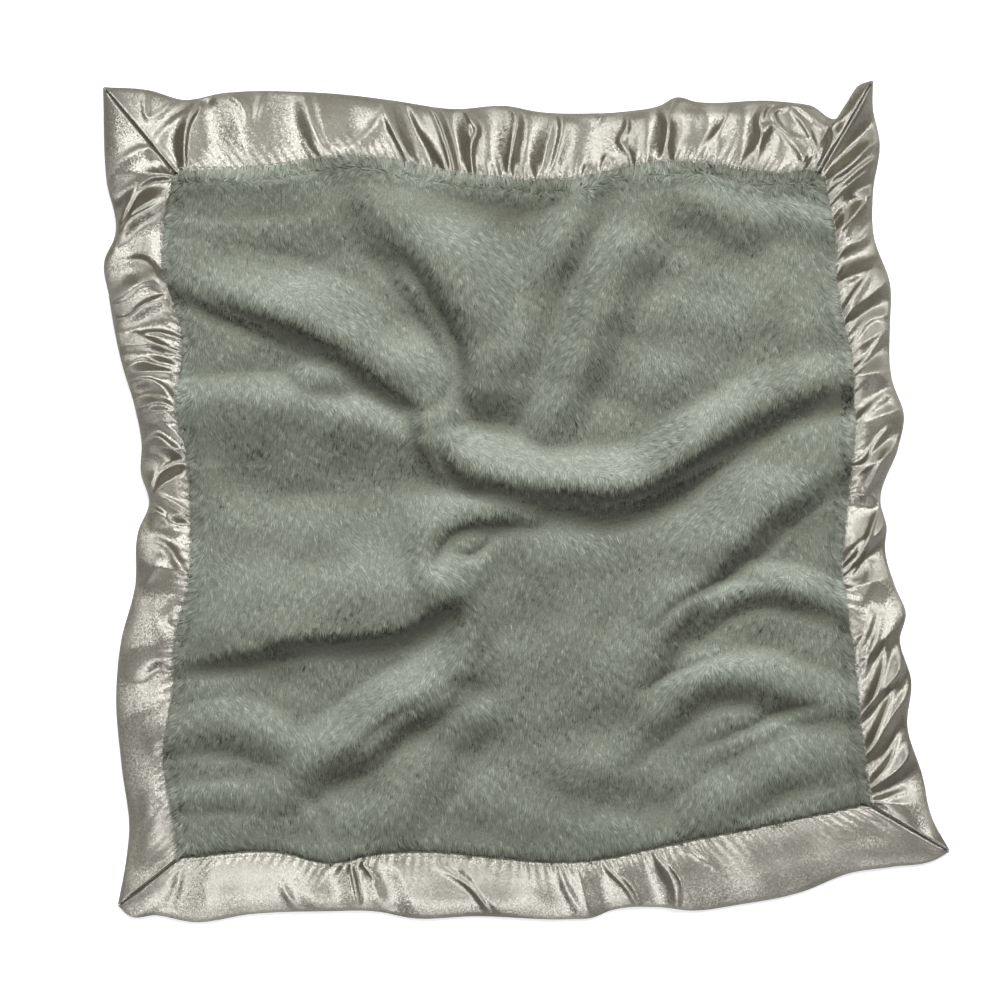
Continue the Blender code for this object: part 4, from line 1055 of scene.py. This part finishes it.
def face_tufts(panel, tree, finish):
    """The pile of the face, combed down the slopes and towards the bottom edge."""
    u, v, draw = jittered(TUFT_SPACING, 11)
    plan = panel_point(u, v)
    slope_x, slope_y = panel.read("slope_x", u, v), panel.read("slope_y", u, v)
    inside = panel.inside(u, v)
    count = len(u)
    swirl, stroke = waves(plan, *SWIRL_WAVES), waves(plan, *STROKE_WAVES)
    nap_x = -NAP_SLOPE * slope_x + 0.22 * swirl + 0.10 * stroke + draw.normal(0, 0.07, count)
    nap_y = -0.85 - NAP_SLOPE * slope_y + 0.18 * waves(plan, *LEAN_WAVES)
    nap_y += draw.normal(0, 0.07, count)
    # over the seams at the top and the sides the pile is brushed out, and at the bottom it stands up
    above, beside = (v > u) & (v > 1 - u), (v <= u) != (v <= 1 - u)
    below = (v <= u) & (v <= 1 - u)
    rim = np.exp(-((inside + RIM_RAGGEDNESS * waves(plan, *RIM_WAVES)) / RIM_WIDTH)**2)
    nap_x += rim * 1.3 * np.where(beside, np.sign(u - 0.5), 0)
    nap_y += rim * np.where(above, 2.2, np.where(below, 0.3, 0))
    pitch = 0.20 + 0.02 * stroke + draw.normal(0, 0.03, count)
    pitch += 0.25 * above * np.exp(-((inside - 0.005) / 0.003)**2) + np.where(below, 0.4, 0.15) * rim
    along, normal = laid(nap_x, nap_y, slope_x, slope_y, pitch, 1)
    lengths = TUFT_LENGTH * np.clip(1 + 0.04 * stroke + draw.normal(0, 0.08, count), 0.6, 1.4)
    scallop = np.where(below, 0.75 + 0.25 * waves(plan, *SCALLOP_WAVES), 0.9)
    lengths *= scallop + (1 - scallop) * eased(inside / 0.006)
    widths = TUFT_WIDTH * np.clip(1 + draw.normal(0, 0.18, count), 0.6, 1.5)
    over = (rim > 0.02) & ~below
    heights = ground_height(panel, "face", u, v)
    onto = held_lift(plan[over]) + SEAM_PILE_HEIGHT - heights[over]
    heights[over] += onto * eased(1 - inside[over] / SEAM_PILE_REACH)
    points = np.column_stack([plan - ORIGIN, heights - TUFT_DEPTH])
    # the tone holds the painted light and shade of the slopes, with random variation by swirls, strokes
    # and tuft
    tones = painted_slope_tone(slope_y) + 0.04 * swirl + 0.10 * stroke + draw.normal(0, 0.09, count)
    # painted shadow: the pile turns dark along the bottom seam, where its overhang shades the satin
    tones -= 0.60 * below * np.exp(-(inside / EDGE_SHADE_WIDTH)**2)
    tones = np.clip(tones, 0.02, 0.96)
    sizes = np.column_stack([lengths, widths, widths * 0.7])
    roots = points, along, normal, sizes, tones
    return plant_patches("face_pile", FACE_PATCHES, u, v, roots, tree, finish)


def back_tufts(panel, tree, finish):
    """The pile of the back, pressed flat where the blanket rests on it."""
    u, v, draw = jittered(BACK_TUFT_SPACING, 12)
    plan = panel_point(u, v)
    slope_x, slope_y = panel.read("slope_x", u, v), panel.read("slope_y", u, v)
    count = len(u)
    clump = waves(plan, *CLUMP_WAVES)
    nap_x = 0.3 * waves(plan, *BACK_SWIRL_WAVES) + 0.25 * clump + draw.normal(0, 0.2, count)
    nap_y = -0.9 + draw.normal(0, 0.2, count)
    heights = ground_height(panel, "back", u, v)
    pressed = heights < 2 * BACK_PILE_SPACE
    pitch = np.where(pressed, -0.14, 0.06) + draw.normal(0, 0.05, count) + 0.06 * clump
    along, normal = laid(nap_x, nap_y, slope_x, slope_y, pitch, -1)
    lengths = BACK_TUFT_SCALE * TUFT_LENGTH * (1 + 0.14 * clump + draw.normal(0, 0.10, count))
    lengths *= 0.5 + 0.5 * eased(panel.inside(u, v) / 0.008)
    lengths = np.clip(lengths, 0.4 * TUFT_LENGTH, 1.8 * TUFT_LENGTH)
    widths = BACK_TUFT_WIDTH * np.clip(1 + draw.normal(0, 0.18, count), 0.6, 1.5)
    points = np.column_stack([plan - ORIGIN, heights + BACK_TUFT_RISE])
    tones = np.clip(0.48 + 0.10 * clump + draw.normal(0, 0.07, count), 0.02, 0.96)
    sizes = np.column_stack([lengths, widths, widths * np.where(pressed, 0.25, 0.6)])
    roots = points, along, normal, sizes, tones
    return plant_patches("back_pile", BACK_PATCHES, u, v, roots, tree, finish, BACK_PILE_LOWEST)


def stitch_run(name, line, rise, stitch, gap, finish, tree, node, width=THREAD_DIAMETER):
    """Stitches along a line of points, that stand for this node."""
    step = np.diff(line, axis=0)
    length = np.concatenate([[0], np.cumsum(np.linalg.norm(step, axis=1))])
    count = int(length[-1] / (stitch + gap))
    middles = (np.arange(count) + 0.5) * length[-1] / count
    at, ahead, behind = (
        np.column_stack([np.interp(middles + offset, length, line[:, k]) for k in range(3)])
        for offset in (0, 0.5 * stitch, -0.5 * stitch)
    )
    if rise < 0:
        # a stitch on the back lies above the floor from end to end
        for end in (ahead, behind):
            end[:, 2] = np.maximum(end[:, 2], STITCH_LOWEST)
        at[:, 2] = np.maximum(at[:, 2], 0.5 * (ahead[:, 2] + behind[:, 2]))
    up = np.tile((0.0, 0.0, rise), (count, 1))
    sizes = np.tile((stitch, width, THREAD_DIAMETER), (count, 1))
    mesh = plant(name, at, ahead - behind, up, sizes, np.full(count, 0.5), tree)
    add_piece(name, mesh, finish, [node])


def satin_line(side, path, along, rise):
    """Points on the outside of the satin, where stitches lie."""
    plan, heights = satin_points(side, path, along)
    return np.column_stack([plan - ORIGIN, heights + rise * STITCH_LIE])


def add_stitches(seam_finish, mitre_shadow_finish, tree):
    """The stitches of the four seams and the four mitres, on the face and on the back."""
    along = np.linspace(0, 1, 400)
    upper = UPPER_STEPS * (1 - (1 - STITCH_SHARE)**(1 / UPPER_CROWDING))
    lower = UPPER_STEPS + LOWER_STEPS * (1 - STITCH_SHARE)**(1 / LOWER_CROWDING)
    for side in SIDES:
        for kind, step, rise in (("needle", upper, 1), ("bobbin", lower, -1)):
            path = np.full(len(along), (TURNED_STEPS + step) / STRIP_STEPS)
            stitch_run(f"{kind}_stitches_{side}", satin_line(side, path, along, rise), rise,
                       STITCH_LENGTH, STITCH_GAP, seam_finish, tree, f"{kind}_thread_{side}")
    # each mitre's line, from the seam's corner towards the blanket's, in steps over the satin
    face_path = TURNED_STEPS + 0.5, TURNED_STEPS + 0.9 * UPPER_STEPS
    back_path = STRIP_STEPS - TURNED_STEPS - 0.5, TURNED_STEPS + UPPER_STEPS + 4
    for corner in CORNERS:
        side = "top" if "top" in corner else "bottom"
        ends = np.full(40, 0.0 if "left" in corner else 1.0)
        for face, ran, rise in (("face", face_path, 1), ("back", back_path, -1)):
            path = np.linspace(*ran, len(ends)) / STRIP_STEPS
            stitch_run(f"mitre_stitches_{face}_{corner}", satin_line(side, path, ends, rise), rise,
                       MITRE_STITCH_LENGTH, MITRE_STITCH_GAP, mitre_shadow_finish, tree,
                       f"mitre_thread_{face}_{corner}", MITRE_STITCH_WIDTH)


def srgb(*levels):
    """A colour that is named by its 0 to 255 levels, as the linear values that a shader takes."""
    shares = np.array(levels) / 255
    return (*np.where(shares <= 0.04045, shares / 12.92, ((shares + 0.055) / 1.055)**2.4), 1.0)


def grey(level):
    return level, level, level, 1


# The pile's colours by tone: the dark end gives the painted shade of slopes turned away and of the
# bottom seam, the light end the painted light of slopes facing the lamp, around the random variation
PILE_COLOURS = (
    (0.0, srgb(44, 44, 34)), (0.30, srgb(101, 104, 88)), (0.58, srgb(128, 133, 120)),
    (1.0, srgb(180, 187, 175)),
)
PARTING_SCALE = 160
PARTING_PATCH_SCALE = 0.45 * PARTING_SCALE
PARTING_STRETCH = (1, 1, 3)
# the painted shade in the partings of the pile
PARTING_SHADE_COLOUR = (0.08, 0.08, 0.06, 1)
SATIN_COLOURS = (0.3, srgb(60, 55, 40)), (0.7, srgb(72, 67, 51))
SATIN_GLOSS = srgb(251, 250, 239)
FLOATS_SCALE = 2600
FLOATS_LEAN = 0.19
WRINKLE_HEIGHT = 0.00006
SEAM_THREAD = srgb(168, 163, 150)
# painted shadow: the mitre stitches are dark, standing for the shadow in the mitre's seam
MITRE_SHADOW_COLOUR = srgb(27, 23, 18)


def new_finish(name, roughness, **values):
    """A new material, its nodes and its shader."""
    made = bpy.data.materials.new(name)
    made.use_nodes = True
    nodes = Nodes(made.node_tree)
    shader = made.node_tree.nodes["Principled BSDF"]
    nodes.set(shader, Roughness=roughness, **values)
    return made, nodes, shader


def painted_parting_shade(nodes, tone):
    """Painted shade: fine dark lines where the pile parts, most on the slopes with painted shade, along
    their contours.
    """
    place = nodes.vectors("MULTIPLY", nodes.object_place(), PARTING_STRETCH)
    field, patches = (
        nodes.add("ShaderNodeTexNoise", Vector=place, Scale=scale, Detail=detail, Distortion=twist)
        for scale, detail, twist in ((PARTING_SCALE, 1.5, 0.7), (PARTING_PATCH_SCALE, 0, 0))
    )
    apart = nodes.maths("ABSOLUTE", nodes.maths("SUBTRACT", field, 0.5))
    line = nodes.limited(apart, 0.010, 0.060, 1, 0)
    patch = nodes.limited(patches, 0.40, 0.56, 0.25, 1)
    shaded = nodes.limited(tone, 0.26, 0.47, 1, 0.08)
    return nodes.maths("MULTIPLY", nodes.maths("MULTIPLY", line, patch), shaded)


def pile_material():
    """Fine soft pile, darker at its roots by painted shade, toned from olive to a cooler grey by a tone
    that holds the painted light and shade of the slopes and random variation.
    """
    made, nodes, shader = new_finish("plush_pile", 0.95, Sheen_Weight=0.2, Sheen_Roughness=0.4)
    place = nodes.add("ShaderNodeUVMap", uv_map="OFBake")
    parts = nodes.add("ShaderNodeSeparateXYZ", place).node.outputs
    tone = nodes.ramp(parts["Y"], *PILE_COLOURS)
    # painted shade: each tuft darkens towards its root
    root = nodes.ramp(parts["X"], (0.0, (0.84, 0.84, 0.83, 1)), (0.45, grey(0.95)), (1.0, grey(1)))
    # painted shade: dark lines where the pile parts
    shaded_parting = nodes.ramp(painted_parting_shade(nodes, parts["Y"]), (0.0, grey(1)), (1.0, PARTING_SHADE_COLOUR))
    colour = nodes.multiplied(nodes.multiplied(tone, root), shaded_parting)
    nodes.set(shader, Base_Color=colour)
    return made


def ground_material():
    """The lower pile between the tufts, in the pile's colours by the painted slope tone, darkened by a
    mottled painted shade.
    """
    made, nodes, shader = new_finish("plush_ground", 0.95, Sheen_Weight=0.15)
    noise = nodes.add("ShaderNodeTexNoise", Vector=nodes.object_place(), Scale=900, Detail=3)
    tone = nodes.add("ShaderNodeAttribute", out="Fac", attribute_name="tone")
    # painted shade: the lower pile is darkened below the tufts' colour, mottled by the noise
    shade = nodes.ramp(noise, (0.3, (0.62, 0.62, 0.60, 1)), (0.7, (0.95, 0.95, 0.94, 1)))
    colour = nodes.multiplied(nodes.ramp(tone, *PILE_COLOURS), shade)
    bump = nodes.add("ShaderNodeBump", Strength=0.6, Distance=0.0006, Height=noise)
    nodes.set(shader, Base_Color=colour, Normal=bump)
    return made


def satin_material():
    """Champagne satin: floats of thread along the binding that catch the light across it."""
    made, nodes, shader = new_finish(
        "satin_weave", 0.46, IOR=2.7, Anisotropic=0.74, Specular_Tint=SATIN_GLOSS,
    )
    at = nodes.object_place()
    cloud = nodes.add("ShaderNodeTexNoise", Vector=at, Scale=60, Detail=3)
    floats = nodes.add("ShaderNodeTexVoronoi", out="Color", Vector=at, Scale=FLOATS_SCALE)
    drawn = nodes.add("ShaderNodeSeparateColor", floats).node.outputs
    glint = nodes.limited(drawn[1], 0, 1, 0.38, 0.62)
    fleck = nodes.ramp(drawn[0], (0.0, grey(0.84)), (1.0, grey(1.16)))
    centred = nodes.vectors("SUBTRACT", floats, (0.5, 0.5, 0.5))
    flat = nodes.add("ShaderNodeNewGeometry", out="Normal")
    leaned = nodes.vectors("MULTIPLY_ADD", centred, (FLOATS_LEAN, FLOATS_LEAN, FLOATS_LEAN), flat)
    wrinkle = nodes.add("ShaderNodeTexNoise", Vector=at, Scale=160, Detail=1)
    bump = nodes.add("ShaderNodeBump", Strength=1.0, Distance=WRINKLE_HEIGHT, Height=wrinkle,
                     Normal=nodes.vectors("NORMALIZE", leaned))
    along = nodes.add("ShaderNodeTangent", direction_type="UV_MAP", uv_map="OFBake")
    colour = nodes.multiplied(nodes.ramp(cloud, *SATIN_COLOURS), fleck)
    nodes.set(shader, Base_Color=colour, Specular_IOR_Level=glint, Normal=bump, Tangent=along)
    return made


def thread_material(name, colour):
    """Spun thread of one colour."""
    made, nodes, shader = new_finish(name, 0.6, Base_Color=colour, Sheen_Weight=0.2)
    twist = nodes.add("ShaderNodeTexWave", Vector=nodes.object_place(), Scale=900)
    bump = nodes.add("ShaderNodeBump", Strength=0.4, Distance=0.0001, Height=twist)
    nodes.set(shader, Normal=bump)
    return made


def lit_background(strength):
    """World light, and a plain pale backdrop that only the camera sees."""
    world = bpy.data.worlds.new("studio")
    bpy.context.scene.world = world
    world.use_nodes = True
    nodes = Nodes(world.node_tree)
    light = world.node_tree.nodes["Background"]
    nodes.set(light, Color=grey(1), Strength=strength)
    pale = nodes.add("ShaderNodeBackground", Strength=1)
    seen = nodes.add("ShaderNodeLightPath", out="Is Camera Ray")
    mixed = nodes.add("ShaderNodeMixShader", seen, light.outputs[0], pale)
    nodes.set(world.node_tree.nodes["World Output"], mixed)


def add_floor():
    """The plain white surface that the blanket lies on."""
    bm = bmesh.new()
    bmesh.ops.create_grid(bm, x_segments=1, y_segments=1, size=FLOOR_SIZE)
    floor = add_object("floor", finished("floor", bm))
    made, nodes, shader = new_finish("white_surface", 0.9, Base_Color=grey(0.82), Specular_IOR_Level=0)
    glow = nodes.add("ShaderNodeEmission", Strength=FLOOR_GLOW)
    lit = nodes.add("ShaderNodeAddShader", shader.outputs[0], glow)
    seen = nodes.add("ShaderNodeLightPath", out="Is Camera Ray")
    mixed = nodes.add("ShaderNodeMixShader", seen, shader.outputs[0], lit)
    nodes.set(made.node_tree.nodes["Material Output"], mixed)
    floor.data.materials.append(made)


def add_lamp(name, place, size, power, glossy):
    """A soft lamp that points at the blanket's middle and gives either gloss or shading."""
    lamp = bpy.data.lights.new(name, "AREA")
    lamp.shape = "RECTANGLE"
    lamp.size, lamp.size_y = size
    lamp.energy = power
    made = add_object(name, lamp)
    made.visible_camera = False
    made.visible_glossy, made.visible_diffuse = glossy, not glossy
    made.location = place
    made.rotation_euler = (-Vector(place)).to_track_quat("-Z", "Y").to_euler()


def add_camera():
    """The camera straight above the blanket."""
    camera = bpy.data.cameras.new("camera")
    camera.lens = CAMERA_LENS
    camera.sensor_width = 36
    made = add_object("camera", camera)
    made.location = (*VIEW_CENTRE, CAMERA_HEIGHT)
    bpy.context.scene.camera = made


def main():
    bpy.context.scene.view_settings.view_transform = "Standard"
    lit_background(WORLD_STRENGTH)
    add_floor()
    for lamp in LAMPS:
        add_lamp(*lamp)
    add_camera()
    panel = Panel()
    ground, pile, satin = ground_material(), pile_material(), satin_material()
    tuft, stitch = tuft_template(), stitch_template()
    tuft_tree, stitch_tree = planting(tuft), planting(stitch)
    for side, tufts in (("face", face_tufts), ("back", back_tufts)):
        cloth = add_ground(panel, side, ground)
        grown = tufts(panel, tuft_tree, pile)
    for side in SIDES:
        add_satin(side, satin)
    seam_finish = thread_material("seam_thread", SEAM_THREAD)
    # the mitre stitches carry the painted shadow colour
    mitre_shadow_finish = thread_material("mitre_thread", MITRE_SHADOW_COLOUR)
    add_stitches(seam_finish, mitre_shadow_finish, stitch_tree)
    for template in (tuft, stitch):
        bpy.data.objects.remove(template)


main()
